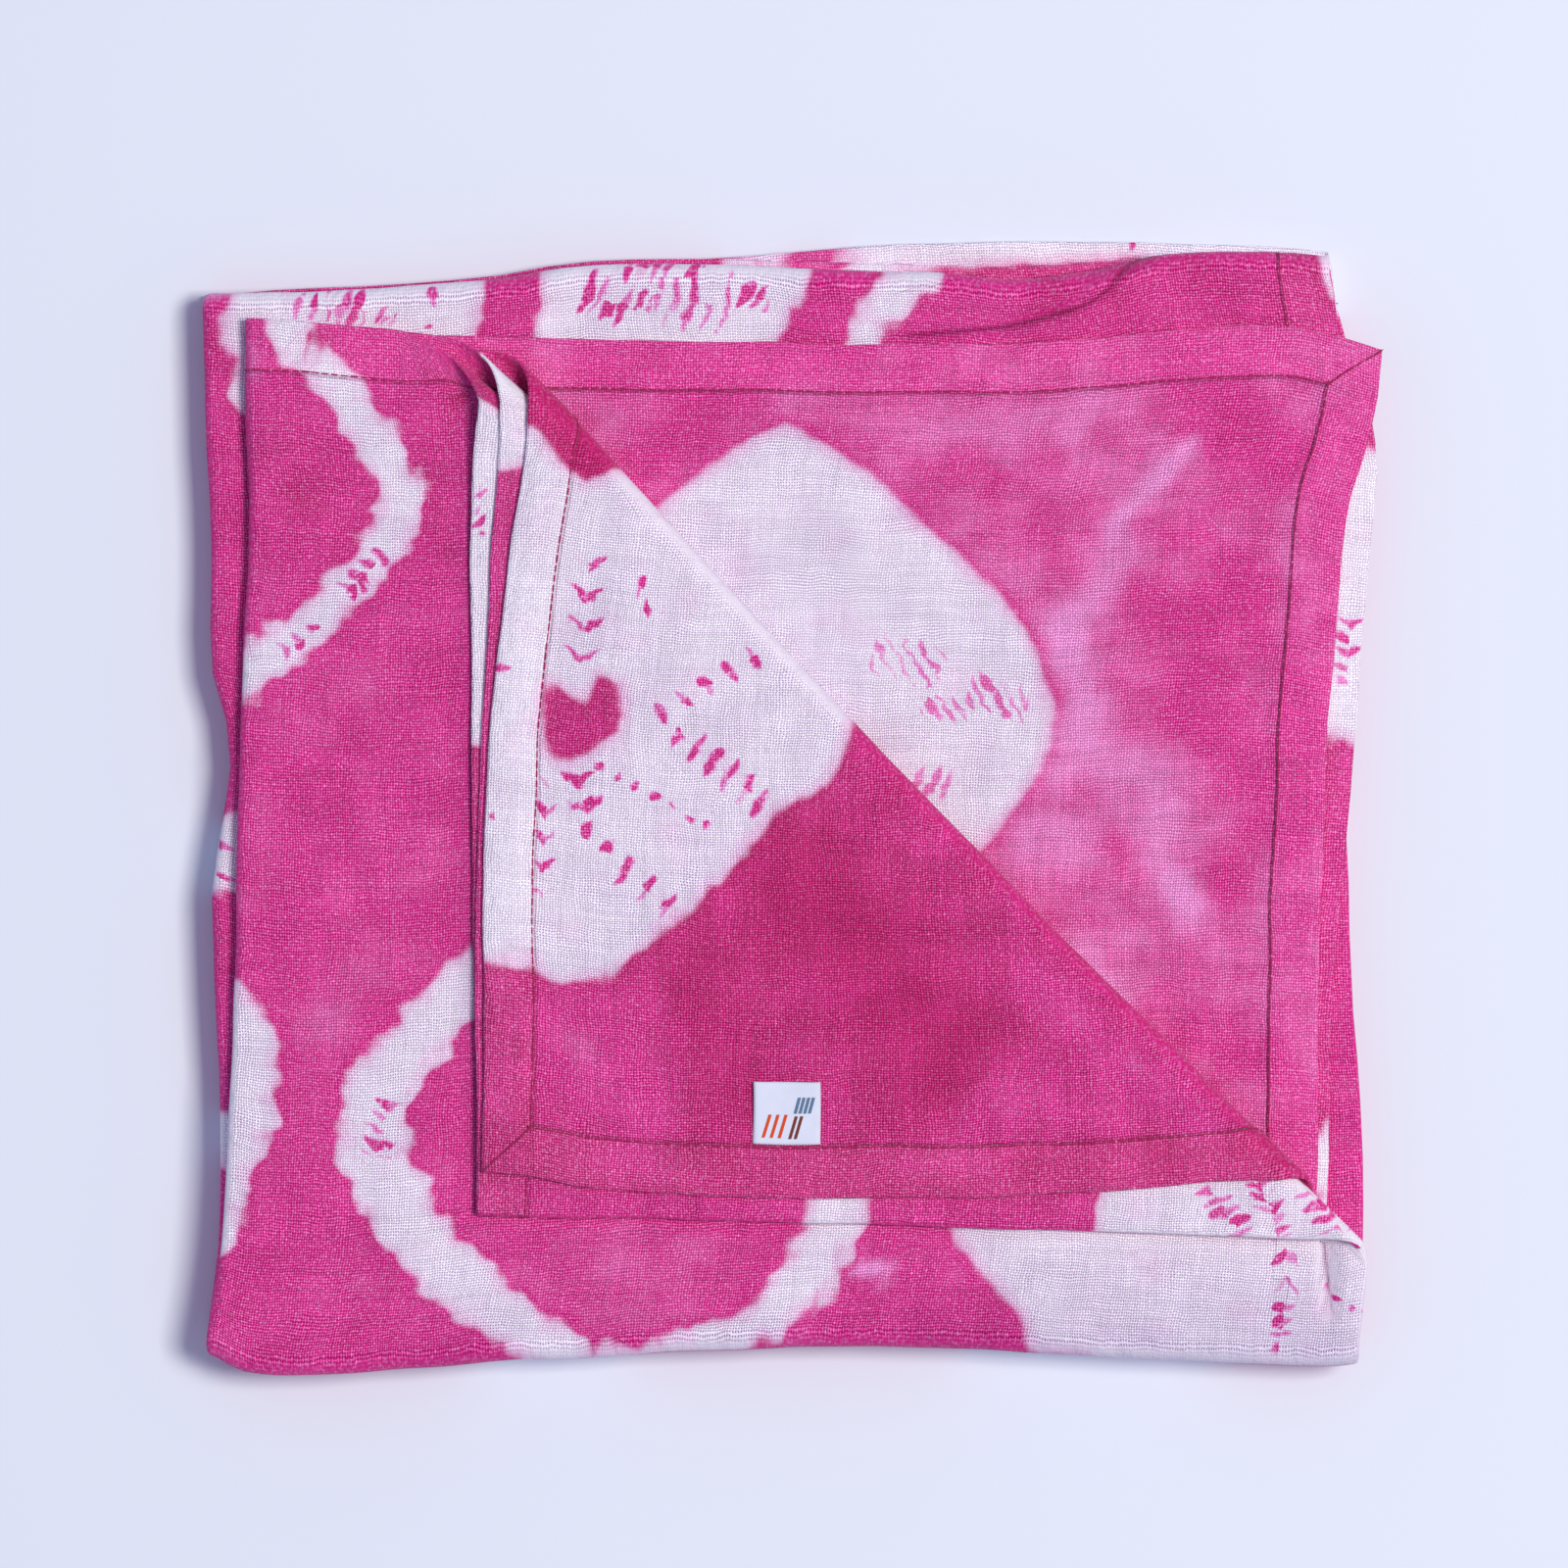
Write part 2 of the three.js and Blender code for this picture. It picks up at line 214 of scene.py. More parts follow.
@dataclass(frozen=True)
class TurnedCorner:
    """The line over which the corner of the top layers is turned back, and the roll they make.

    room is the hollow in the roll and cloth the length that it takes up. Its middle is bowed, and
    the layers settle beyond it. Near its start it is looser, which the slack fields give.
    """

    start: tuple[float, float] = (-73.8, 122.5)
    end: tuple[float, float] = (152.4, -112.6)
    layers: int = 3
    room: float = 2.4
    cloth: float = 12.6
    end_bulge: float = 1.3
    bow: float = 2.2
    bow_reach: float = 40.0
    settle: float = 1.6
    settle_reach: float = 45.0
    slack: float = 3.0
    slack_room: float = 2.2
    slack_reach: float = 27.0
    slack_settle: float = 3.4
    slack_settle_reach: float = 20.0

    @property
    def span(self) -> float:
        """The length of the ridge."""
        return math.dist(self.start, self.end)

    @property
    def along(self) -> tuple[float, float]:
        """The way that the ridge runs."""
        return tuple((b - a) / self.span for a, b in zip(self.start, self.end))

    @property
    def out(self) -> tuple[float, float]:
        """The way from the ridge to the corner's old place."""
        x, y = self.along
        return (-y, x)


@dataclass(frozen=True)
class Crease:
    """A soft ridge, or a trough where rise is negative, between two places in steps.

    It falls off over a spread in millimetres, which can be another one on the right of its way.
    """

    x0: float
    y0: float
    x1: float
    y1: float
    spread: float
    rise: float
    right_spread: float | None = None

    def height(self, x: np.ndarray, y: np.ndarray) -> np.ndarray:
        """How much it lifts the cloth.

        Args:
            x: places across, in millimetres.
            y: the same places up the fold.

        Returns:
            The lift at each place.
        """
        start, end = to_mm([(self.x0, self.y0), (self.x1, self.y1)])
        away = distance_to_line(x, y, start, end)
        side = (end[0] - start[0]) * (y - start[1]) - (end[1] - start[1]) * (x - start[0])
        right = self.right_spread or self.spread
        away = away / np.where(side > 0, self.spread, right)
        return self.rise * np.exp(-away * away)


RIDGES = (
    Crease(229, 593, 229, 1286, 30, 1.0),
    Crease(575, 670, 1037, 1170, 60, 1.2),
    Crease(1037, 516, 1344, 747, 45, 0.9),
    Crease(344, 1055, 421, 1324, 45, 0.8),
    Crease(1229, 1305, 1383, 1209, 30, 1.2),
)

CREASES = (
    Crease(1178, 262, 1122, 292, 6.5, 1.5, 1.3),
    Crease(1122, 292, 1090, 314, 6.5, 2.1, 1.3),
    Crease(1090, 314, 1050, 328, 6.0, 2.1, 1.3),
    Crease(1050, 328, 1000, 340, 5.0, 1.5, 1.4),
    Crease(1000, 340, 900, 346, 4.0, 0.9, 1.6),
    Crease(564, 266, 562, 350, 3.5, 0.9, 0.9),
    Crease(1350, 1266, 1355, 1336, 2.4, -2.4),
    Crease(1376, 1270, 1378, 1352, 4.6, 1.6),
    Crease(462, 352, 480, 420, 4.0, -1.2),
    Crease(436, 350, 446, 400, 5.0, 0.6),
    Crease(245, 355, 262, 372, 5.0, 0.5),
    Crease(300, 760, 430, 745, 9.0, 0.4),
    Crease(262, 900, 300, 1120, 8.0, -0.4),
    Crease(350, 1230, 480, 1330, 10.0, 0.5),
    Crease(640, 1300, 900, 1310, 12.0, 0.5),
    Crease(1000, 1300, 1180, 1330, 12.0, -0.4),
    Crease(620, 540, 700, 900, 14.0, 0.6),
    Crease(600, 1030, 622, 1120, 6.0, 0.5),
    Crease(600, 1155, 596, 1205, 3.0, 0.5),
    Crease(760, 900, 960, 1100, 16.0, -0.5),
    Crease(980, 460, 1240, 560, 14.0, 0.6),
    Crease(1120, 700, 1290, 900, 14.0, -0.5),
    Crease(1180, 940, 1280, 1060, 9.0, 0.5),
    Crease(700, 440, 860, 520, 12.0, -0.4),
    Crease(1290, 350, 1330, 460, 6.0, 0.6),
    Crease(1016, 1160, 1024, 1210, 3.0, 0.5),
    Crease(1120, 1150, 1132, 1200, 3.0, 0.45),
    Crease(700, 1165, 712, 1210, 3.0, 0.45),
    Crease(1310, 1095, 1330, 1150, 3.5, 0.5),
)


@dataclass(frozen=True)
class FoldedCloth:
    """The whole cloth, and where each place on it comes to lie in the fold."""

    layer: float = 1.0
    gap: float = 0.4
    bottom: float = -141.0
    first_top: float = 126.0
    low_top: float = 140.0
    corner: TurnedCorner = TurnedCorner()
    probe: float = 0.05
    ripple: float = 0.22
    sway: float = 0.42

    @property
    def pitch(self) -> float:
        """The height from one layer to the next."""
        return self.layer + self.gap

    @property
    def strip(self) -> float:
        """The height of the four layers of one row."""
        return len(COLUMNS) * self.pitch - self.gap

    @property
    def top(self) -> float:
        """The height of all sixteen layers."""
        return len(ROWS) * (self.strip + self.gap) - self.gap

    def column_height(self, run: Run) -> float:
        """The height of a column's middle within its strip."""
        return self.layer / 2 + run.level * self.pitch

    def row_height(self, run: Run, in_strip: np.ndarray) -> np.ndarray:
        """The height of a place in a row, from its height within the strip."""
        middle = run.level * (self.strip + self.gap) + self.strip / 2
        return middle + run.faces * (in_strip - self.strip / 2)

    def across(self) -> list[Stretch]:
        """The columns and the turns between them."""
        heights = [self.column_height(run) for run in COLUMNS]
        return lay_out(COLUMNS, [math.pi * abs(a - b) / 2 for a, b in zip(heights, heights[1:])])

    def down(self) -> list[Stretch]:
        """The rows and the turns between them."""
        return lay_out(ROWS, [math.pi * (self.strip + self.gap) / 2] * 3)

    def left_edge(self, row: np.ndarray, y: np.ndarray) -> np.ndarray:
        """The x of the left fold line of each row at a height y on the outline."""
        outline = np.where(row == Row.FIRST, SIDES.read("left", y), SIDES.read("lowLeft", y))
        return outline + (3 * self.pitch + self.layer) / 2

    def right_edge(self, row: np.ndarray, column: np.ndarray, y: np.ndarray) -> np.ndarray:
        """The x of the right fold line or hem of each column.

        Args:
            row: the row of each place.
            column: its column.
            y: its height on the outline.

        Returns:
            The x for each place.
        """
        folded = (column == Column.C) | (column == Column.D)
        bulge = (self.pitch + self.layer) / 2
        hem = np.where(column == Column.A, SIDES.read("hemA", y), SIDES.read("hemB", y))
        first = np.where(folded, SIDES.read("foldDC", y) - bulge, hem)
        low = np.where(folded, SIDES.read("lowFoldDC", y) - bulge, SIDES.read("lowHem", y))
        return np.where(row == Row.FIRST, first, low)

    def end_bulge(self) -> float:
        """How far the outer layer of a row's turn stands proud of where the turn starts."""
        return (2 * self.strip + self.gap) / 2

    def top_edge(self, row: np.ndarray, column: np.ndarray, x: np.ndarray) -> np.ndarray:
        """The y of the top hem or fold line of each row.

        Args:
            row: the row of each place.
            column: its column.
            x: its place across the outline.

        Returns:
            The y for each place.
        """
        first = np.choose(column, [ENDS.read(c.name, x) for c in Column])
        fourth = np.where(column == Column.A, ENDS.read("lowA", x), ENDS.read("lowHem", x))
        fold = ENDS.read("lowFold", x) - self.end_bulge()
        return np.select([row == Row.FIRST, row == Row.FOURTH], [first, fourth], fold)

    def bottom_edge(self, row: np.ndarray, x: np.ndarray) -> np.ndarray:
        """The y of the bottom fold line of each row."""
        outline = np.where(row < Row.THIRD, ENDS.read("bottom", x), ENDS.read("lowBottom", x))
        return outline + self.end_bulge()

    def lay(self, u: np.ndarray, v: np.ndarray) -> "Laid":
        """Folds places on the flat cloth.

        Args:
            u: distances across, from one side hem.
            v: distances down, from the top hem.

        Returns:
            The places in the fold.
        """
        across = locate(self.across(), COLUMNS, u, lambda run: self.column_height(run) + 0 * u)
        down = locate(self.down(), ROWS, v, lambda run: self.row_height(run, across.height))
        row, column = down.run, across.run
        high = np.where(row == Row.FIRST, self.first_top, self.low_top)
        level = self.bottom + (high - self.bottom) * down.share
        low_x, high_x = self.left_edge(row, level), self.right_edge(row, column, level)
        x = low_x + (high_x - low_x) * across.share
        low_y, high_y = self.bottom_edge(row, x), self.top_edge(row, column, x)
        y = low_y + (high_y - low_y) * down.share
        laid = Laid(
            x + across.past, y + down.past, down.height, row, column,
            x + across.unrolled, y + down.unrolled,
        )
        self._turn_corner(laid)
        self._ease(laid)
        return laid

    def _turn_corner(self, laid: "Laid") -> None:
        """Rolls the top layers back over the line of the turned corner.

        Args:
            laid: the places of the fold, which are moved.
        """
        roll = self.corner
        height = self.top + roll.room / 2
        reach = roll.room / 2 + roll.layers * self.pitch - self.gap
        dx, dy = laid.x - roll.start[0], laid.y - roll.start[1]
        along = dx * roll.along[0] + dy * roll.along[1]
        out = dx * roll.out[0] + dy * roll.out[1]
        stays = (laid.row != Row.FIRST) | (laid.z < self.top - roll.layers * self.pitch)
        past = np.where(stays, -1e3, out + reach * roll.end_bulge)
        middle = np.sin(math.pi * np.clip(along / roll.span, 0, 1))
        bulge = roll.end_bulge + (1 - roll.end_bulge) * middle
        bowed = roll.bow * middle * np.exp(-(((past - roll.cloth / 2) / roll.bow_reach) ** 2))
        free = np.exp(-((np.maximum(along + 6, 0) / roll.slack_reach) ** 2))
        open_room = roll.slack_room * free
        slack = roll.slack * free * (reach - (height - laid.z)) + open_room
        cloth = roll.cloth + 2 * slack
        slid = past + slack
        height = height + open_room
        radius = height - laid.z
        angle = math.pi * np.clip(slid / cloth, 0, 1)
        beyond = np.maximum(slid - cloth, 0)
        rolled = slid > 0
        moved = np.where(rolled, radius * bulge * np.sin(angle) - slack - beyond - past, 0) - bowed
        settled = roll.settle * smooth(beyond / roll.settle_reach)
        settled += roll.slack_settle * free * smooth(beyond / roll.slack_settle_reach)
        laid.past = past
        shown = np.where(rolled, roll.cloth - 2 * past, 0)
        laid.face_x = laid.face_x + roll.out[0] * shown
        laid.face_y = laid.face_y + roll.out[1] * shown
        laid.z = np.where(rolled, height - radius * np.cos(angle) - settled, laid.z)
        laid.x = laid.x + roll.out[0] * moved
        laid.y = laid.y + roll.out[1] * moved

    def _ease(self, laid: "Laid") -> None:
        """Lifts the layers over the soft ridges, more the higher they lie, and ripples them.

        Args:
            laid: the places of the fold, which are moved.
        """
        rise = self.sway * waves(laid.x, laid.y, seed=7, longest=90.0, shortest=26.0)
        for crease in RIDGES + CREASES:
            rise += crease.height(laid.x, laid.y)
        share = np.maximum(laid.z - self.layer, 0) / (self.top - self.layer)
        x, y = laid.x, laid.y
        laid.x = x + self.ripple * waves(x, y, seed=3, longest=60.0, shortest=16.0) - MIDDLE[0]
        laid.y = y + self.ripple * waves(x, y, seed=5, longest=60.0, shortest=16.0) - MIDDLE[1]
        laid.z = laid.z + rise * share

    def normals(self, u: np.ndarray, v: np.ndarray) -> np.ndarray:
        """The way up from the side of the cloth that the hems are turned to.

        Args:
            u: distances across, from one side hem.
            v: distances down, from the top hem.

        Returns:
            A row of length 1 for each place.
        """
        across = self.lay(u + self.probe, v).points() - self.lay(u - self.probe, v).points()
        down = self.lay(u, v + self.probe).points() - self.lay(u, v - self.probe).points()
        up = np.cross(across, down)
        return up / np.linalg.norm(up, axis=1, keepdims=True)


@dataclass
class Laid:
    """Places on the cloth as they lie folded, with the row and column that each is in.

    face_x and face_y are where a place has its dye, with turns and rolls flattened out, and past is
    how far beyond the start of the turned corner's roll it lies.
    """

    x: np.ndarray
    y: np.ndarray
    z: np.ndarray
    row: np.ndarray
    column: np.ndarray
    face_x: np.ndarray
    face_y: np.ndarray
    past: np.ndarray | None = None

    def points(self) -> np.ndarray:
        """The places as rows of x, y and z."""
        return np.stack([self.x, self.y, self.z], axis=1)


def smooth(share: np.ndarray) -> np.ndarray:
    """A smooth rise from 0 at 0 to 1 at 1."""
    t = np.clip(share, 0, 1)
    return t * t * (3 - 2 * t)


def lay_out(runs: Sequence[Run], turns: Sequence[float]) -> list[Stretch]:
    """Lays the runs and the turns between them one after the other.

    Args:
        runs: the runs in order.
        turns: the length of cloth in each turn between them.

    Returns:
        The stretches along the cloth.
    """
    stretches, at = [], 0.0
    for i, run in enumerate(runs):
        stretches.append(Stretch(i, at, at + run.width))
        at += run.width
        if i < len(turns):
            stretches.append(Stretch(i, at, at + turns[i], turns=True))
            at += turns[i]
    return stretches


def locate(
    stretches: Sequence[Stretch],
    runs: Sequence[Run],
    distance: np.ndarray,
    height_of: Callable[[Run], np.ndarray],
) -> Place:
    """Finds where distances along the cloth come to lie.

    Args:
        stretches: the runs and turns in order.
        runs: the runs that the stretches name.
        distance: distances along the cloth.
        height_of: the height of a run's middle, one for each distance.

    Returns:
        One place for each distance.
    """
    place = Place(*(np.zeros(distance.shape) for _ in range(5)))
    place.run = place.run.astype(int)
    for i, stretch in enumerate(stretches):
        here = distance <= stretch.end if i < len(stretches) - 1 else np.full(distance.shape, True)
        if i:
            here &= distance > stretches[i - 1].end
        run = runs[stretch.run]
        length = stretch.end - stretch.start
        t = (distance - stretch.start) / length
        if not stretch.turns:
            place.run[here] = stretch.run
            place.share[here] = (t if run.heads > 0 else 1 - t)[here]
            place.height[here] = height_of(run)[here]
            continue
        start, end = height_of(run), height_of(runs[stretch.run + 1])
        half = (start - end) / 2
        turned = (start + end) / 2 + half * np.cos(math.pi * t)
        place.run[here] = np.where(t < 0.5, stretch.run, stretch.run + 1)[here]
        place.share[here] = 1.0 if run.heads > 0 else 0.0
        place.past[here] = (np.abs(half) * np.sin(math.pi * t) * run.heads)[here]
        place.unrolled[here] = (np.minimum(t, 1 - t) * length * run.heads)[here]
        place.height[here] = turned[here]
    return place


def waves(x: np.ndarray, y: np.ndarray, seed: int, longest: float, shortest: float) -> np.ndarray:
    """A gentle uneven surface of crossing waves.

    Args:
        x: places across.
        y: the same places up.
        seed: the seed of the waves' ways and phases.
        longest: the longest wave.
        shortest: the shortest one.

    Returns:
        Its height at each place, from about -1 to 1.
    """
    chance = np.random.default_rng(seed)
    total = np.zeros(np.shape(x))
    lengths = np.geomspace(longest, shortest, 7)
    for length in lengths:
        way, phase = chance.uniform(0, 2 * math.pi, 2)
        along = x * math.cos(way) + y * math.sin(way)
        total += (length / longest) ** 0.6 * np.sin(2 * math.pi * along / length + phase)
    return total / 2.4


def distance_to_line(
    x: np.ndarray, y: np.ndarray, start: Sequence[float], end: Sequence[float]
) -> np.ndarray:
    """The distance from places to a straight piece of line.

    Args:
        x: places across.
        y: the same places up.
        start: one end of the line.
        end: the other end.

    Returns:
        The distance of each place.
    """
    way = np.subtract(end, start)
    t = np.clip(((x - start[0]) * way[0] + (y - start[1]) * way[1]) / way.dot(way), 0, 1)
    return np.hypot(x - start[0] - t * way[0], y - start[1] - t * way[1])


# Where the dye lies


class Face(IntEnum):
    """The faces of the fold that show, each with dye of its own, and the rest of the cloth."""

    UPPER = 0
    UPPER_TURNED = 1
    SECOND_TURNED = 2
    CORNER = 3
    BARED = 4
    STRIP = 5
    BACK = 6
    LOW = 7


def face_of(laid: Laid) -> np.ndarray:
    """Finds which face each place belongs to.

    Args:
        laid: the places in the fold.

    Returns:
        The number of each place's face.
    """
    turned = laid.past > TurnedCorner().cloth / 2
    first, column = laid.row == Row.FIRST, laid.column
    faces = {
        Face.CORNER: first & (column == Column.B) & (laid.past > 0),
        Face.SECOND_TURNED: first & (column == Column.C) & turned,
        Face.UPPER_TURNED: first & (column == Column.D) & turned,
        Face.BARED: first & (column == Column.A) & (laid.face_x > -95),
        Face.UPPER: first,
        Face.STRIP: (laid.row == Row.SECOND) & (column == Column.A) & (laid.face_y > -150),
        Face.BACK: (laid.row >= Row.THIRD) & (laid.face_y > 90),
    }
    return np.select(list(faces.values()), [int(face) for face in faces], int(Face.LOW))


JAGGED = {
    Face.UPPER: 1.0,
    Face.UPPER_TURNED: 0.5,
    Face.SECOND_TURNED: 0.35,
    Face.CORNER: 0.55,
    Face.BARED: 0.3,
    Face.STRIP: 0.75,
    Face.BACK: 0.4,
    Face.LOW: 0.8,
}


@dataclass(frozen=True)
class Band:
    """A band that the dye left white, along a path of places with its half width at each."""

    face: Face
    path: tuple[tuple[float, float, float], ...]


@dataclass(frozen=True)
class Patch:
    """An area inside an outline, white or, where dyed is true, dyed again over white."""

    face: Face
    outline: tuple[tuple[float, float], ...]
    dyed: bool = False


BANDS = (
    Band(
        Face.UPPER,
        (
            (288, 300, 24), (296, 345, 26), (338, 380, 20), (364, 415, 22), (392, 462, 24),
            (412, 500, 22), (402, 540, 24), (374, 578, 20), (344, 612, 20), (302, 652, 22),
            (250, 686, 26), (200, 706, 30),
        ),
    ),
    Band(
        Face.UPPER,
        (
            (520, 975, 30), (470, 1012, 30), (418, 1068, 30), (380, 1115, 32), (384, 1180, 38),
            (410, 1236, 34), (452, 1292, 32), (506, 1336, 28), (548, 1366, 26), (594, 1394, 24),
            (650, 1402, 26), (712, 1376, 26), (764, 1352, 18), (812, 1320, 26), (836, 1282, 28),
            (856, 1236, 30), (860, 1190, 32),
        ),
    ),
    Band(Face.SECOND_TURNED, ((856, 1170, 32), (852, 1290, 34))),
)

PATCHES = (
    Patch(
        Face.UPPER,
        ((180, 990), (240, 1000), (284, 1046), (284, 1104), (282, 1148), (256, 1192), (246, 1262),
         (222, 1290), (180, 1290)),
    ),
    Patch(
        Face.UPPER,
        ((955, 1200), (970, 1256), (1004, 1304), (1038, 1340), (1054, 1372), (1110, 1382),
         (1130, 1440), (1460, 1440), (1460, 1180)),
    ),
    Patch(Face.UPPER, ((486, 342), (522, 346), (516, 364), (490, 362))),
    Patch(
        Face.UPPER_TURNED,
        ((440, 388), (484, 396), (520, 420), (560, 440), (560, 752), (440, 768)),
    ),
    Patch(Face.SECOND_TURNED, ((440, 330), (560, 330), (560, 470), (500, 482), (440, 470))),
    Patch(Face.SECOND_TURNED, ((1134, 1150), (1108, 1290), (1440, 1290), (1440, 1150))),
    Patch(
        Face.CORNER,
        ((440, 436), (545, 434), (574, 472), (602, 492), (640, 476), (700, 440), (900, 690),
         (872, 746), (850, 794), (792, 832), (744, 888), (700, 932), (656, 966), (624, 1000),
         (562, 1004), (530, 974), (496, 984), (440, 990)),
    ),
    Patch(
        Face.CORNER,
        ((556, 697), (574, 701), (592, 724), (606, 707), (616, 691), (635, 700), (634, 744),
         (608, 763), (582, 780), (556, 764)),
        dyed=True,
    ),
    Patch(
        Face.BARED,
        ((640, 540), (672, 516), (714, 484), (752, 456), (804, 432), (858, 464), (904, 494),
         (962, 554), (1018, 602), (1054, 656), (1078, 728), (1064, 782), (1032, 830), (998, 872),
         (940, 900), (820, 800), (700, 700)),
    ),
    Patch(
        Face.STRIP,
        ((236, 298), (300, 240), (480, 240), (490, 280), (495, 302), (484, 340), (484, 420),
         (330, 420), (262, 452), (252, 436), (244, 420), (232, 402), (240, 386), (236, 366),
         (224, 350), (221, 332), (232, 312)),
    ),
    Patch(Face.STRIP, ((1344, 230), (1400, 230), (1400, 300), (1352, 308))),
    Patch(Face.STRIP, ((180, 836), (270, 830), (270, 912), (180, 918))),
    Patch(Face.STRIP, ((180, 1130), (270, 1126), (270, 1190), (180, 1192))),
    Patch(Face.STRIP, ((556, 250), (838, 250), (824, 300), (792, 348), (780, 420), (530, 420))),
    Patch(
        Face.STRIP,
        ((922, 250), (974, 250), (962, 286), (906, 342), (880, 420), (850, 400), (866, 336)),
    ),
    Patch(Face.STRIP, ((1340, 458), (1440, 458), (1440, 752), (1340, 766))),
    Patch(Face.STRIP, ((1320, 1146), (1400, 1138), (1404, 1232), (1320, 1232))),
    Patch(Face.BACK, ((738, 220), (1440, 220), (1440, 320), (738, 320))),
    Patch(Face.BACK, ((796, 245), (862, 240), (874, 262), (866, 284), (792, 284)), dyed=True),
    Patch(
        Face.BACK,
        ((916, 276), (973, 272), (1029, 269.5), (1090, 266.5), (1137, 264), (1180, 262),
         (1180, 300), (916, 300)),
        dyed=True,
    ),
    Patch(Face.LOW, ((180, 838), (280, 832), (280, 914), (180, 916))),
    Patch(Face.LOW, ((180, 1134), (280, 1130), (280, 1184), (180, 1186))),
    Patch(Face.LOW, ((480, 1340), (640, 1340), (660, 1460), (470, 1460))),
    Patch(Face.LOW, ((980, 1340), (1240, 1340), (1260, 1460), (960, 1460))),
)


@dataclass(frozen=True)
class Tone:
    """How deep the dye is on a face, and where it is deeper or paler.

    Each streak has its two ends and its reach in steps, and how much deeper the dye is there; a few
    deeper streaks beside the flap are painted shade.
    """

    face: Face
    depth: float
    streaks: tuple[tuple[float, float, float, float, float, float], ...] = ()


TONES = (
    Tone(
        Face.UPPER,
        0.02,
        (
            # Painted shade: the deeper streaks beside the roll's start and down the flap's left
            # edge, and the one just under the flap's lower edge.
            (290, 450, 320, 520, 46, 0.3), (660, 1290, 700, 1290, 110, -0.15),
            (874, 1288, 904, 1300, 9, -1.1),
            (470, 360, 474, 400, 22, 0.7), (440, 440, 460, 700, 26, 0.25),
            (262, 345, 256, 372, 18, -0.5), (360, 1010, 330, 1040, 30, -0.35),
            (250, 1340, 420, 1390, 24, 0.15), (470, 1080, 474, 1230, 18, 0.1),
            (560, 1230, 820, 1240, 20, 0.2), (880, 1350, 1010, 1360, 26, 0.15),
        ),
    ),
    Tone(Face.UPPER_TURNED, 0.35),
    Tone(
        Face.SECOND_TURNED,
        0.2,
        ((560, 1230, 700, 1236, 24, 0.1), (1000, 1226, 1080, 1226, 30, 0.1)),
    ),
    Tone(
        Face.CORNER,
        0.42,
        (
            (820, 900, 960, 1060, 90, 0.35), (700, 1000, 760, 1120, 60, 0.2),
            (1060, 1110, 1100, 1130, 40, -0.25), (590, 1070, 650, 1130, 46, -0.45),
            (570, 1030, 640, 1040, 40, -0.15), (1004, 1136, 1016, 1130, 22, -0.6),
            (1160, 1080, 1230, 1150, 18, -0.55), (1060, 1000, 1080, 1018, 22, -0.5),
            (1110, 1040, 1120, 1060, 18, -0.45), (556, 420, 610, 470, 26, 0.35),
            (514, 1000, 514, 1130, 20, -0.2), (560, 1180, 700, 1192, 16, -0.2),
            (900, 1185, 1000, 1180, 16, -0.25), (1180, 1175, 1290, 1165, 20, 0.2),
            (1120, 1100, 1240, 1170, 26, -0.1),
        ),
    ),
    Tone(
        Face.BARED,
        -0.26,
        (
            (1134, 540, 1216, 452, 11, -0.6), (1150, 560, 1092, 640, 22, -0.35),
            (1084, 640, 1112, 720, 18, -0.6), (1180, 880, 1216, 924, 20, -0.6),
            (1200, 900, 1206, 906, 9, -0.9), (1090, 980, 1136, 1030, 22, -0.7),
            (1100, 760, 1180, 800, 36, -0.35), (1060, 860, 1200, 850, 34, -0.3),
            (1230, 700, 1290, 830, 46, 0.35), (600, 370, 760, 400, 30, 0.25),
            (700, 430, 660, 470, 26, 0.35), (1240, 420, 1300, 460, 44, 0.5),
            (1180, 620, 1280, 640, 36, 0.25), (960, 430, 1100, 420, 26, -0.15),
            (1180, 1050, 1290, 1080, 36, 0.15), (1140, 860, 1250, 910, 26, 0.3),
            (1330, 420, 1344, 1100, 22, -0.12), (1040, 620, 1100, 660, 20, 0.1),
            (1220, 540, 1280, 600, 40, 0.25), (980, 480, 1060, 540, 26, 0.2),
            (760, 352, 880, 352, 16, 0.2), (1330, 700, 1330, 800, 20, 0.3),
        ),
    ),
    Tone(
        Face.STRIP,
        0.12,
        (
            (1060, 310, 1140, 300, 30, 0.3), (1200, 300, 1320, 300, 40, 0.2),
            (205, 300, 270, 298, 9, -1.2), (215, 360, 240, 520, 20, 0.1),
        ),
    ),
    Tone(Face.BACK, 0.1, ((800, 262, 870, 262, 30, -0.5),)),
    Tone(Face.LOW, 0.05),
)


@dataclass(frozen=True)
class Chain:
    """A row of small marks that the binding stitches left.

    Its ends are in steps, its half width and its spacing in millimetres. vee is how far its marks
    are bent to chevrons, and lean how far they lean, both in spacings.
    """

    face: Face
    x0: float
    y0: float
    x1: float
    y1: float
    half: float
    pitch: float
    vee: float = 0.45
    lean: float = 0.0


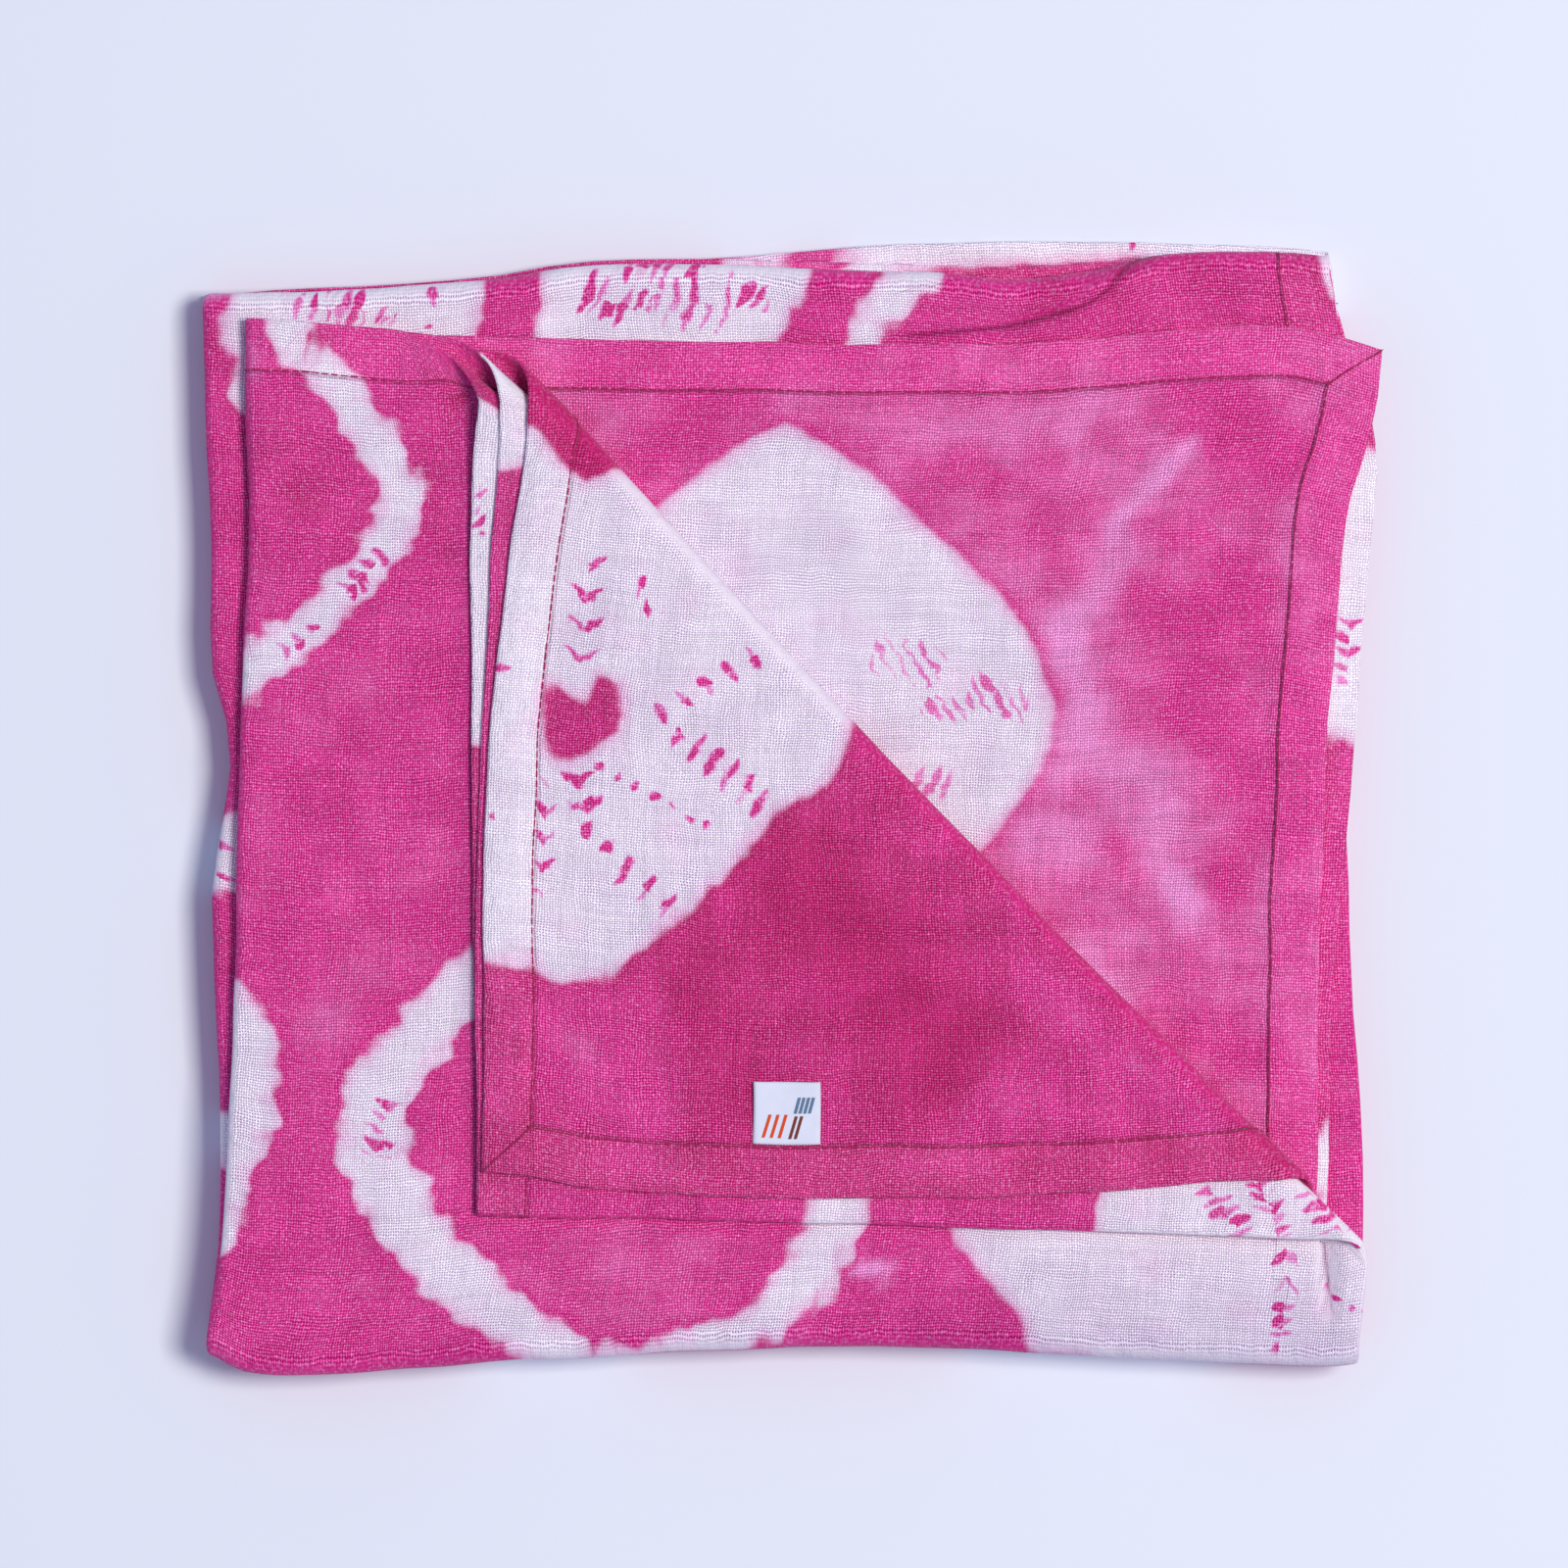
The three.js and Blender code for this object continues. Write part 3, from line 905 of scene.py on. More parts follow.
CHAINS = (
    Chain(Face.UPPER, 352, 606, 394, 566, 4.2, 4.2),
    Chain(Face.UPPER, 286, 666, 330, 640, 3.0, 4.6),
    Chain(Face.UPPER, 398, 1122, 384, 1180, 4.6, 3.6),
    Chain(Face.UPPER, 1312, 1262, 1312, 1322, 4.2, 7.6, -0.55),
    Chain(Face.UPPER, 1310, 1326, 1304, 1378, 3.0, 3.6, 0.0, 0.2),
    Chain(Face.UPPER, 1346, 1308, 1394, 1342, 1.5, 4.4, 0.0),
    Chain(Face.SECOND_TURNED, 1232, 1206, 1268, 1262, 5.0, 3.6, 0.0, -0.3),
    Chain(Face.SECOND_TURNED, 1286, 1200, 1304, 1262, 4.4, 3.4, 0.4),
    Chain(Face.SECOND_TURNED, 1326, 1196, 1372, 1258, 6.0, 4.0, 0.5),
    Chain(Face.CORNER, 606, 562, 592, 700, 5.2, 8.3),
    Chain(Face.CORNER, 560, 786, 552, 926, 3.0, 7.4, 0.35),
    Chain(Face.CORNER, 590, 782, 600, 840, 5.6, 7.4, 0.3),
    Chain(Face.CORNER, 584, 842, 684, 928, 4.6, 7.4, 0.0, 0.1),
    Chain(Face.CORNER, 604, 778, 726, 842, 1.6, 5.4, 0.0),
    Chain(Face.CORNER, 690, 738, 788, 826, 5.0, 5.6, 0.0, 0.12),
    Chain(Face.CORNER, 664, 734, 792, 656, 3.6, 7.4, 0.0),
    Chain(Face.CORNER, 652, 586, 672, 628, 2.6, 5.4, 0.0, 0.5),
    Chain(Face.CORNER, 514, 664, 512, 700, 2.4, 9.0, 0.0),
    Chain(Face.CORNER, 506, 822, 506, 848, 1.6, 6.0, 0.0),
    Chain(Face.BARED, 890, 664, 962, 686, 6.5, 5.0, 0.0, 1.35),
    Chain(Face.BARED, 940, 716, 990, 728, 3.6, 4.4, 0.0, 0.9),
    Chain(Face.BARED, 988, 702, 1050, 720, 5.6, 4.8, 0.0, 1.2),
    Chain(Face.BARED, 928, 796, 972, 800, 5.0, 4.2, 0.0, -0.5),
    Chain(Face.UPPER_TURNED, 492, 496, 490, 546, 2.0, 4.0, 0.0, 0.4),
    Chain(Face.STRIP, 296, 314, 330, 314, 3.4, 4.4, 0.0, -0.35),
    Chain(Face.STRIP, 332, 314, 376, 318, 5.0, 3.1, 0.0, -0.6),
    Chain(Face.STRIP, 382, 322, 404, 324, 2.8, 2.2, 0.0, -0.6),
    Chain(Face.STRIP, 430, 306, 452, 306, 2.0, 6.2, 0.0),
    Chain(Face.STRIP, 430, 331, 444, 331, 1.2, 3.6, 0.0),
    Chain(Face.STRIP, 592, 300, 668, 318, 6.2, 3.4, 0.0, -0.5),
    Chain(Face.STRIP, 664, 304, 746, 312, 8.0, 4.6, 0.3, -0.3),
    Chain(Face.STRIP, 636, 276, 720, 282, 3.4, 3.4, 0.0, -0.4),
    Chain(Face.STRIP, 752, 300, 786, 306, 4.0, 3.8, 0.0, -0.5),
    Chain(Face.STRIP, 1378, 628, 1376, 700, 4.2, 4.2),
    Chain(Face.STRIP, 222, 846, 238, 912, 3.2, 9.0, 0.0, -0.3),
    Chain(Face.BACK, 1072, 250, 1100, 250, 1.8, 7.2, 0.0, 0.3),
    Chain(Face.BACK, 1150, 249, 1168, 249, 1.6, 4.6, 0.0, -0.3),
)


@dataclass(frozen=True)
class Pinch:
    """A sharp line where the cloth is pressed in, with painted shade along it and a softer painted
    shade on its left side.

    Its path is in steps, and dark is how dark it is in its middle.
    """

    face: Face
    path: tuple[tuple[float, float], ...]
    dark: float


PINCHES = (
    Pinch(
        Face.STRIP,
        (
            (1196, 258), (1174, 265), (1155, 273), (1137, 289), (1113, 308), (1090, 317),
            (1057, 326), (1020, 333), (973, 338), (905, 344),
        ),
        0.8,
    ),
    Pinch(Face.UPPER, ((1347, 1244), (1350, 1270), (1353, 1300), (1360, 1346)), 0.55),
)


@dataclass(frozen=True)
class Shade:
    """A place in the shade of a fold: a line on a face with its reach, in steps, and how dark."""

    face: Face
    x0: float
    y0: float
    x1: float
    y1: float
    reach: float
    dark: float


SHADES = (
    Shade(Face.UPPER, 460, 1400, 700, 1404, 44, 0.4),
    Shade(Face.UPPER, 700, 1404, 940, 1402, 44, 0.5),
    Shade(Face.UPPER, 960, 1402, 1400, 1400, 84, 0.55),
    Shade(Face.UPPER, 1240, 1396, 1400, 1396, 30, 0.3),
    Shade(Face.UPPER, 476, 400, 484, 1140, 12, 0.5),
    Shade(Face.UPPER, 258, 340, 258, 480, 12, 0.3),
    Shade(Face.STRIP, 930, 270, 1150, 268, 9, 0.35),
)


NO_MARKS = (0.0, 3.0, -5.0, 0.0, 0.0, 4.0)  # what DyeMap.marks gives far from every chain


@dataclass(frozen=True)
class PlacedChain:
    """A chain in millimetres: its number, where it starts, the way it runs and its length."""

    chain: Chain
    number: int
    start: np.ndarray
    way: np.ndarray
    length: float

    def locate(self, places: np.ndarray) -> tuple[np.ndarray, np.ndarray]:
        """How far places lie along the chain from its start, and how far to its left."""
        offset = places - self.start
        return offset @ self.way, offset @ np.array((-self.way[1], self.way[0]))


class DyeMap:
    """Works out, for places on the faces of the fold, how far inside the white they lie, how deep
    the dye is and which marks and shades they are in, from the tables above."""

    def __init__(self) -> None:
        """Puts the chains in millimetres, face by face."""
        self.chains: dict[int, list[PlacedChain]] = {face: [] for face in Face}
        for number, chain in enumerate(CHAINS):
            start, end = to_mm([(chain.x0, chain.y0), (chain.x1, chain.y1)])
            length = float(np.linalg.norm(end - start))
            placed = PlacedChain(chain, number, start, (end - start) / length, length)
            self.chains[chain.face].append(placed)

    def white(self, laid: Laid) -> np.ndarray:
        """How far inside the white places lie.

        Args:
            laid: the places in the fold.

        Returns:
            For each place, the distance in millimetres, negative where it is dyed.
        """
        where = face_of(laid)
        result = np.full(laid.x.shape, OUTSIDE)
        for face in Face:
            here = where == face
            x, y = laid.face_x[here], laid.face_y[here]
            inside = np.full(x.shape, OUTSIDE)
            for band in BANDS:
                if band.face == face:
                    inside = np.maximum(inside, inside_band(x, y, band.path))
            patches = [patch for patch in PATCHES if patch.face == face]
            for patch in sorted(patches, key=lambda patch: patch.dyed):
                reach = inside_outline(x, y, to_mm(patch.outline))
                inside = np.minimum(inside, -reach) if patch.dyed else np.maximum(inside, reach)
            result[here] = inside
        return result

    def depth(self, laid: Laid) -> np.ndarray:
        """How deep the dye is, with a few streaks of painted shade beside the flap.

        Args:
            laid: the places in the fold.

        Returns:
            For each place, from about -1, pale, to 1, deep.
        """
        where = face_of(laid)
        result = np.zeros(laid.x.shape)
        for tone in TONES:
            here = where == tone.face
            x, y = laid.face_x[here], laid.face_y[here]
            depth = np.full(x.shape, tone.depth)
            for x0, y0, x1, y1, reach, change in tone.streaks:
                away = distance_to_line(x, y, *to_mm([(x0, y0), (x1, y1)])) / (reach * STEP)
                depth += change * np.exp(-away * away)
            result[here] = depth
        return result

    def marks(self, face: int, centre: np.ndarray, corners: np.ndarray) -> np.ndarray:
        """Where the corners of a facet lie in the nearest chain of marks.

        Args:
            face: the number of the face that the facet is in.
            centre: the middle of the facet on that face.
            corners: its corners on that face.

        Returns:
            For each corner, its place along the chain in spacings, its place across it from -1 to
            1, how far it is inside the chain's ends, and then the vee, the lean and the spacing.
        """
        best, nearest = MARKS_REACH, None
        for placed in self.chains[face]:
            along, across = placed.locate(centre)
            miss = max(abs(across) - placed.chain.half, -along, along - placed.length)
            if miss < best:
                best, nearest = miss, placed
        if nearest is None:
            return np.tile(NO_MARKS, (len(corners), 1))
        chain = nearest.chain
        along, across = nearest.locate(corners)
        inside = np.minimum(along, nearest.length - along)
        number = along / chain.pitch + 60.0 * nearest.number
        form = np.tile((chain.vee, chain.lean, chain.pitch), (len(along), 1))
        return np.column_stack([number, across / chain.half, inside, form])

    def pinch(self, laid: Laid) -> tuple[np.ndarray, np.ndarray]:
        """The nearest sharp line at each place.

        Args:
            laid: the places in the fold.

        Returns:
            How far each place is from the line, positive on its left, and how dark the line is.
        """
        where = face_of(laid)
        nearest = np.full(laid.x.shape, 12.0)
        dark = np.zeros(laid.x.shape)
        for line in PINCHES:
            here = np.flatnonzero(where == line.face)
            x, y = laid.face_x[here], laid.face_y[here]
            path = to_mm(line.path)
            lengths = np.linalg.norm(np.diff(path, axis=0), axis=1)
            starts = np.concatenate([[0.0], np.cumsum(lengths)])
            for i, (a, b) in enumerate(zip(path, path[1:])):
                way = (b - a) / lengths[i]
                t = np.clip((x - a[0]) * way[0] + (y - a[1]) * way[1], 0, lengths[i])
                side = way[0] * (y - a[1]) - way[1] * (x - a[0])
                away = distance_to_line(x, y, a, b)
                closer = away < np.abs(nearest[here]) - 1e-6
                chosen = here[closer]
                nearest[chosen] = np.where(side >= 0, away, -away)[closer]
                along = (starts[i] + t)[closer]
                dark[chosen] = line.dark * smooth(along / 6.0) * smooth((starts[-1] - along) / 9.0)
        return nearest, dark

    def shade(self, laid: Laid) -> np.ndarray:
        """How far places lie in the shade of a fold.

        Args:
            laid: the places in the fold.

        Returns:
            For each place, from 0 to about 1.
        """
        where = face_of(laid)
        result = np.zeros(laid.x.shape)
        for shade in SHADES:
            here = where == shade.face
            start, end = to_mm([(shade.x0, shade.y0), (shade.x1, shade.y1)])
            away = distance_to_line(laid.face_x[here], laid.face_y[here], start, end)
            away = away / (shade.reach * STEP)
            result[here] = np.maximum(result[here], shade.dark * np.exp(-away * away))
        return result


def inside_band(x: np.ndarray, y: np.ndarray, path: Sequence[Sequence[float]]) -> np.ndarray:
    """How far inside a band places lie.

    Args:
        x: places across, in millimetres.
        y: the same places up.
        path: the middle of the band and its half width, in steps.

    Returns:
        The distance of each place from the band's edge, negative outside it.
    """
    centres = to_mm([p[:2] for p in path])
    halves = np.array([p[2] for p in path]) * STEP
    best = np.full(x.shape, OUTSIDE)
    for (a, b), (first, last) in zip(zip(centres, centres[1:]), zip(halves, halves[1:])):
        way = b - a
        t = np.clip(((x - a[0]) * way[0] + (y - a[1]) * way[1]) / way.dot(way), 0, 1)
        away = np.hypot(x - a[0] - t * way[0], y - a[1] - t * way[1])
        best = np.maximum(best, first + (last - first) * t - away)
    return best


def inside_outline(x: np.ndarray, y: np.ndarray, outline: np.ndarray) -> np.ndarray:
    """How far inside a closed outline places lie.

    Args:
        x: places across.
        y: the same places up.
        outline: the corners of the outline.

    Returns:
        The distance of each place from the outline, negative outside it.
    """
    away = np.full(x.shape, 1e3)
    within = np.zeros(x.shape, dtype=bool)
    for a, b in zip(outline, np.roll(outline, -1, axis=0)):
        away = np.minimum(away, distance_to_line(x, y, a, b))
        spans = (a[1] > y) != (b[1] > y)
        rise = b[1] - a[1] if b[1] != a[1] else 1e-9
        within ^= spans & (x < (b[0] - a[0]) * (y - a[1]) / rise + a[0])
    return np.where(within, away, -away)


# Materials

Number = "float | Socket"
Settings = dict[str, object] | None
Inputs = dict[int | str, object] | None


class Socket:
    """A value in a material's nodes, on which arithmetic adds the nodes that work it out."""

    def __init__(self, tree: bpy.types.NodeTree, socket: bpy.types.NodeSocket) -> None:
        """Wraps one output socket of a tree."""
        self.tree = tree
        self.socket = socket

    def _math(self, operation: str, first: Number, second: Number = 0.0) -> "Socket":
        """Adds a Math node."""
        settings = {"operation": operation}
        return add_node(self.tree, "ShaderNodeMath", settings, {0: first, 1: second})

    def __add__(self, other: Number) -> "Socket":
        """Sum."""
        return self._math("ADD", self, other)

    def __radd__(self, other: Number) -> "Socket":
        """Sum, with the number first."""
        return self._math("ADD", other, self)

    def __sub__(self, other: Number) -> "Socket":
        """Difference."""
        return self._math("SUBTRACT", self, other)

    def __rsub__(self, other: Number) -> "Socket":
        """Difference, with the number first."""
        return self._math("SUBTRACT", other, self)

    def __mul__(self, other: Number) -> "Socket":
        """Product."""
        return self._math("MULTIPLY", self, other)

    def __rmul__(self, other: Number) -> "Socket":
        """Product, with the number first."""
        return self._math("MULTIPLY", other, self)

    def __truediv__(self, other: Number) -> "Socket":
        """Quotient."""
        return self._math("DIVIDE", self, other)

    def __rtruediv__(self, other: Number) -> "Socket":
        """Quotient, with the number first."""
        return self._math("DIVIDE", other, self)

    def __abs__(self) -> "Socket":
        """Size without sign."""
        return self._math("ABSOLUTE", self)

    def sine(self) -> "Socket":
        """Sine of an angle in radians."""
        return self._math("SINE", self)

    def cosine(self) -> "Socket":
        """Cosine of an angle in radians."""
        return self._math("COSINE", self)

    def fraction(self) -> "Socket":
        """The part after the decimal point."""
        return self._math("FRACT", self)

    def whole(self) -> "Socket":
        """The next whole number below."""
        return self._math("FLOOR", self)

    def least(self, other: Number) -> "Socket":
        """The smaller of two."""
        return self._math("MINIMUM", self, other)

    def most(self, other: Number) -> "Socket":
        """The larger of two."""
        return self._math("MAXIMUM", self, other)

    def step(self, low: float, high: float) -> "Socket":
        """A smooth step between two values.

        Args:
            low: where it is 0.
            high: where it is 1, above low for a step up and below it for a step down.

        Returns:
            The step.
        """
        ends = {1: low, 2: high} if low < high else {1: high, 2: low, 3: 1.0, 4: 0.0}
        settings = {"interpolation_type": "SMOOTHSTEP"}
        return add_node(self.tree, "ShaderNodeMapRange", settings, {0: self, **ends})


def add_node(
    tree: bpy.types.NodeTree,
    kind: str,
    settings: Settings = None,
    inputs: Inputs = None,
    output: int | str = 0,
) -> Socket:
    """Adds any node to a tree.

    Args:
        tree: the tree.
        kind: the node's type.
        settings: its properties, which are set first.
        inputs: values or links of its sockets, by name or number.
        output: the socket to return.

    Returns:
        That output, wrapped.
    """
    node = tree.nodes.new(kind)
    for name, value in (settings or {}).items():
        setattr(node, name, value)
    for name, value in (inputs or {}).items():
        if isinstance(value, Socket):
            tree.links.new(value.socket, node.inputs[name])
        else:
            node.inputs[name].default_value = value
    return Socket(tree, node.outputs[output])


class Finish:
    """A material in the making: its node tree, and the few steps that all the finishes share."""

    def __init__(self, name: str) -> None:
        """Starts a material with an empty tree.

        Args:
            name: the name of the material.
        """
        self.material = bpy.data.materials.new(name)
        self.material.use_nodes = True
        self.tree = self.material.node_tree
        self.tree.nodes.clear()

    def node(
        self, kind: str, settings: Settings = None, inputs: Inputs = None, output: int | str = 0
    ) -> Socket:
        """Adds a node to this material's tree."""
        return add_node(self.tree, kind, settings, inputs, output)

    def attribute(self, name: str, output: str = "Fac") -> Socket:
        """Reads an attribute of the mesh."""
        return self.node("ShaderNodeAttribute", {"attribute_name": name}, output=output)

    def flat_place(self) -> Socket:
        """The place on the flat piece, from its UV map."""
        return self.node("ShaderNodeUVMap", {"uv_map": "Flat"})

    def parts(self, vector: Socket) -> list[Socket]:
        """The three numbers of a vector."""
        first = self.node("ShaderNodeSeparateXYZ", None, {0: vector})
        return [Socket(self.tree, output) for output in first.socket.node.outputs]

    def vector(self, x: Number, y: Number, z: Number = 0.0) -> Socket:
        """A vector of three numbers."""
        return self.node("ShaderNodeCombineXYZ", None, {0: x, 1: y, 2: z})

    def noise(self, at: Socket, scale: float, detail: float = 2.0, rough: float = 0.5) -> Socket:
        """Noise between 0 and 1, with its middle at about a half."""
        inputs = {"Vector": at, "Scale": scale, "Detail": detail, "Roughness": rough}
        return self.node("ShaderNodeTexNoise", None, inputs)

    def mix(self, factor: Number, first: Colour | Socket, second: Colour | Socket) -> Socket:
        """Mixes two colours.

        Args:
            factor: how much there is of the second.
            first: the first colour.
            second: the second colour.

        Returns:
            The mixed colour.
        """
        ends = [c if isinstance(c, Socket) else (*c, 1.0) for c in (first, second)]
        settings = {"data_type": "RGBA", "clamp_factor": True}
        return self.node("ShaderNodeMix", settings, {0: factor, 6: ends[0], 7: ends[1]}, output=2)

    def tint(self, colour: Socket, by: Colour) -> Socket:
        """A colour multiplied by a constant one."""
        return self.node("ShaderNodeVectorMath", {"operation": "MULTIPLY"}, {0: colour, 1: by})

    def shade(self, colour: Socket, factor: Socket) -> Socket:
        """A colour made lighter or darker by a factor about 1."""
        inputs = {0: colour, "Scale": factor}
        return self.node("ShaderNodeVectorMath", {"operation": "SCALE"}, inputs)

    def finish(
        self, colour: Socket, height: Socket, depth: float, roughness: float, sheen: float
    ) -> bpy.types.Material:
        """Ends the tree in a shader with the colour and a bump.

        Args:
            colour: the base colour.
            height: the surface's height, from 0 to 1.
            depth: what a height of 1 is, in metres.
            roughness: the shader's roughness.
            sheen: the shader's sheen weight.

        Returns:
            The material.
        """
        relief = {"Distance": depth, "Height": height, "Strength": 1.0}
        bump = self.node("ShaderNodeBump", None, relief)
        shader = self.node(
            "ShaderNodeBsdfPrincipled",
            None,
            {
                "Base Color": colour,
                "Roughness": roughness,
                "Sheen Weight": sheen,
                "Sheen Roughness": 0.5,
                "Specular IOR Level": 0.2,
                "Normal": bump,
            },
        )
        end = self.tree.nodes.new("ShaderNodeOutputMaterial")
        self.tree.links.new(shader.socket, end.inputs["Surface"])
        return self.material


@dataclass(frozen=True)
class DyedMuslin:
    """Open plain-weave cotton, dyed magenta on white: its size, its colours and its threads.

    Lengths are in millimetres. Holes, the painted shade in grooves, folds and creases, and the
    other shades are tints of the colour they lie on.
    """

    width: float
    length: float
    hem: float
    white: Colour = srgb(250, 239, 255)
    pale: Colour = srgb(252, 160, 224)
    full: Colour = srgb(229, 28, 141)
    deep: Colour = srgb(200, 8, 106)
    hole: Colour = (0.36, 0.2, 0.42)
    dyed_hole: Colour = (0.3, 0.1, 0.3)
    groove_shade_tint: Colour = (0.5, 0.24, 0.42)
    shade_tint: Colour = (0.66, 0.62, 0.74)
    thread_across: float = 0.68
    thread_down: float = 0.74

    def material(self) -> bpy.types.Material:
        """Builds the material from the cloth's own flat coordinates and its dye attributes.

        Returns:
            The material.
        """
        f = Finish("dyed_muslin")
        u, v, _ = f.parts(f.flat_place())
        u, v = u * self.width, v * self.length
        at = f.vector(u, v)
        # The hems, the mitres at their corners and the folds along them.
        left, top = u.least(self.width - u), v.least(self.length - v)
        edge = left.least(top)
        hem = edge.step(self.hem + 0.3, self.hem - 0.5)
        corner = left.most(top).step(self.hem + 0.4, self.hem - 0.4)
        mitre = abs(left - top).step(0.55, 0.1) * corner
        fold = abs(edge - self.hem).step(0.5, 0.06)
        colour, white = self._dye(f, at, hem)
        thread, light = self._weave(f, at, u, v, hem)
        # Where the cloth turns down steeply, its threads are too close together to be seen.
        level = 1.0 - f.attribute("steep").step(0.02, 0.26) * 0.75
        colour = self._threads(f, at, colour, white, thread, light, level)
        # Painted shade in the grooves of the mitres and along the hems' folded edges.
        seams = (mitre * 0.55).most(fold * 0.45)
        colour = f.mix(seams, colour, f.tint(colour, self.groove_shade_tint))
        colour = f.mix(f.attribute("shade"), colour, f.tint(colour, self.shade_tint))
        # The sharp lines where the cloth is pressed in: painted shade along each line and on its
        # left side, and a shallow groove in the bump.
        away, dark, _ = f.parts(f.attribute("pinch", "Vector"))
        line, side = abs(away).step(1.15, 0.05), away.step(4.0, 0.0) * away.step(-0.3, 0.3)
        pressed = ((line * 0.8 + side * 0.5) * dark).least(1.0)
        colour = f.mix(pressed, colour, f.tint(colour, self.groove_shade_tint))
        # The cloth is finely crinkled, and pulled aslant in its hems.
        crinkle = f.noise(at, 0.16, 3.0, 0.6) * 2.2 + f.noise(at, 0.7, 2.0) * 0.5
        pulled = f.noise(f.vector((u + v) * 0.32, (u - v) * 0.07), 1.0, 2.0) * hem * 1.3
        height = thread * 0.42 * level + crinkle + pulled - mitre * 0.6 - fold * 0.5 - pressed
        return f.finish(colour, height, 0.0005, 0.92, 0.1)

    def _threads(
        self, f: Finish, at: Socket, colour: Socket, white: Socket, thread: Socket, light: Socket,
        level: Socket,
    ) -> Socket:
        """Draws the threads, and the holes between them, on the dyed cloth.

        Args:
            f: the material.
            at: the place on the flat cloth.
            colour: the colour of the dye.
            white: 1 where the cloth is white.
            thread: the height of the threads.
            light: how much lighter than the cloth each of them is, from random yarn tone and from
                painted light.
            level: how clearly the threads are seen.

        Returns:
            The colour of the cloth with its threads.
        """
        # The tops of the threads get a painted highlight, and the dye is worn off in patches; both
        # are less where the dye is deep.
        worn = f.noise(at, 1.1, 1.0, 0.6).step(0.44, 0.78) * 0.5
        pale = thread.step(0.64, 1.0) * level * 0.34 + worn
        pale = pale * (1.0 - white) * (1.0 - f.attribute("depth").step(0.2, 1.0) * 0.7)
        hole = f.mix(white, f.tint(colour, self.dyed_hole), f.tint(colour, self.hole))
        colour = f.mix(thread.step(0.62, 0.08) * level, f.mix(pale, colour, self.pale), hole)
        lightness = 1.03 + light * level * (1.25 - white * 0.5) - (1.0 - level) * 0.17
        return f.shade(colour, lightness)

    def _dye(self, f: Finish, at: Socket, hem: Socket) -> tuple[Socket, Socket]:
        """The colour of the cloth before its threads are drawn.

        Args:
            f: the material.
            at: the place on the flat cloth.
            hem: 1 in the hems, where the cloth is double.

        Returns:
            The colour, and 1 where the cloth is white.
        """
        # The edge of the white is jagged, more in some places than in others.
        teeth = (f.noise(at, 0.13, 1.0, 0.4) - 0.5) * 9.5
        teeth = teeth + (f.noise(at, 0.34, 1.0, 0.4) - 0.5) * 1.7
        teeth = teeth * (0.25 + f.noise(at, 0.02, 1.0) * 1.4)
        inside = f.attribute("white") + teeth * f.attribute("teeth")
        depth = f.attribute("depth")
        # The dye is cloudy, and deeper along the rim of the white and in the hems.
        cloud = (f.noise(at, 0.03, 3.0, 0.55) - 0.5) * 0.6
        cloud = cloud + (f.noise(at, 0.1, 3.0, 0.55) - 0.5) * 0.7
        fine = (f.noise(at, 0.6, 3.0, 0.7) - 0.5) * 0.3
        rim = inside.step(-4.5, -0.8) * (1.0 - inside.step(-0.8, 0.4))
        tone = depth + cloud + fine + rim * 0.14 + hem * 0.2
        dyed = f.mix(tone.step(-0.95, 0.1), self.pale, self.full)
        dyed = f.mix(tone.step(0.05, 0.85), dyed, self.deep)
        # The white is stained near its edge, and has the marks of the binding.
        stain = inside.step(4.2, 0.3) * 0.42 + f.noise(at, 0.07, 2.0).step(0.5, 0.75) * 0.16
        bled = f.mix(stain, self.white, self.pale)
        marks = self._marks(f, at) * inside.step(0.0, 1.6) * (0.3 + depth.step(-0.6, 0.1) * 0.7)
        marked = f.mix(marks.step(0.0, 0.55), bled, self.pale)
        marked = f.mix(marks.step(0.45, 1.1), marked, self.full)
        white = inside.step(-1.1, 1.2)
        return f.mix(white, dyed, marked), white * (1.0 - marks.step(0.3, 0.9))

    def _marks(self, f: Finish, at: Socket) -> Socket:
        """The small marks of the binding stitches.

        Args:
            f: the material.
            at: the place on the flat cloth.

        Returns:
            How strong the mark is, 0 between the marks.
        """
        p, side, inside = f.parts(f.attribute("marks", "Vector"))
        vee, lean, pitch = f.parts(f.attribute("form", "Vector"))
        # The marks wander, and each has a width, a strength and gaps of its own.
        warp = (f.noise(at, 0.22, 1.0) - 0.5) * 3.4 / pitch
        side = side + (f.noise(at, 0.34, 1.0) - 0.5) * 0.7
        place = p + abs(side) * vee + side * lean + warp
        number = place.whole()
        phase = abs(place.fraction() - 0.5) * pitch
        arm = {"Vector": f.vector(number, side.step(-0.02, 0.02))}
        chance = f.node("ShaderNodeTexWhiteNoise", {"noise_dimensions": "2D"}, arm)
        other = (chance * 17.31).fraction()
        width = (0.55 + chance * 0.85) * (1.2 - side * side)
        stroke = (phase - width).step(0.75, -0.65)
        kept = other.step(0.1, 0.2) * (0.5 + chance * 0.6)
        broken = f.noise(at, 0.42, 1.0).step(0.2, 0.46)
        grain = 0.5 + f.noise(at, 1.3, 1.0) * 0.9
        ends = inside.step(-0.4, 0.9) * abs(side).step(1.1, 0.7)
        return stroke * kept * broken * grain * ends * 1.25

    def _weave(
        self, f: Finish, at: Socket, u: Socket, v: Socket, hem: Socket
    ) -> tuple[Socket, Socket]:
        """The height of the threads and how light each of them is.

        Args:
            f: the material.
            at: the place on the flat cloth.
            u: the distance across it.
            v: the distance down it.
            hem: 1 in the hems, where the cloth is double.

        Returns:
            The height, 0 in the gaps and 1 on top of the crossings, and the change in lightness,
            from random yarn tone and from painted light on the crossings and thread tops.
        """
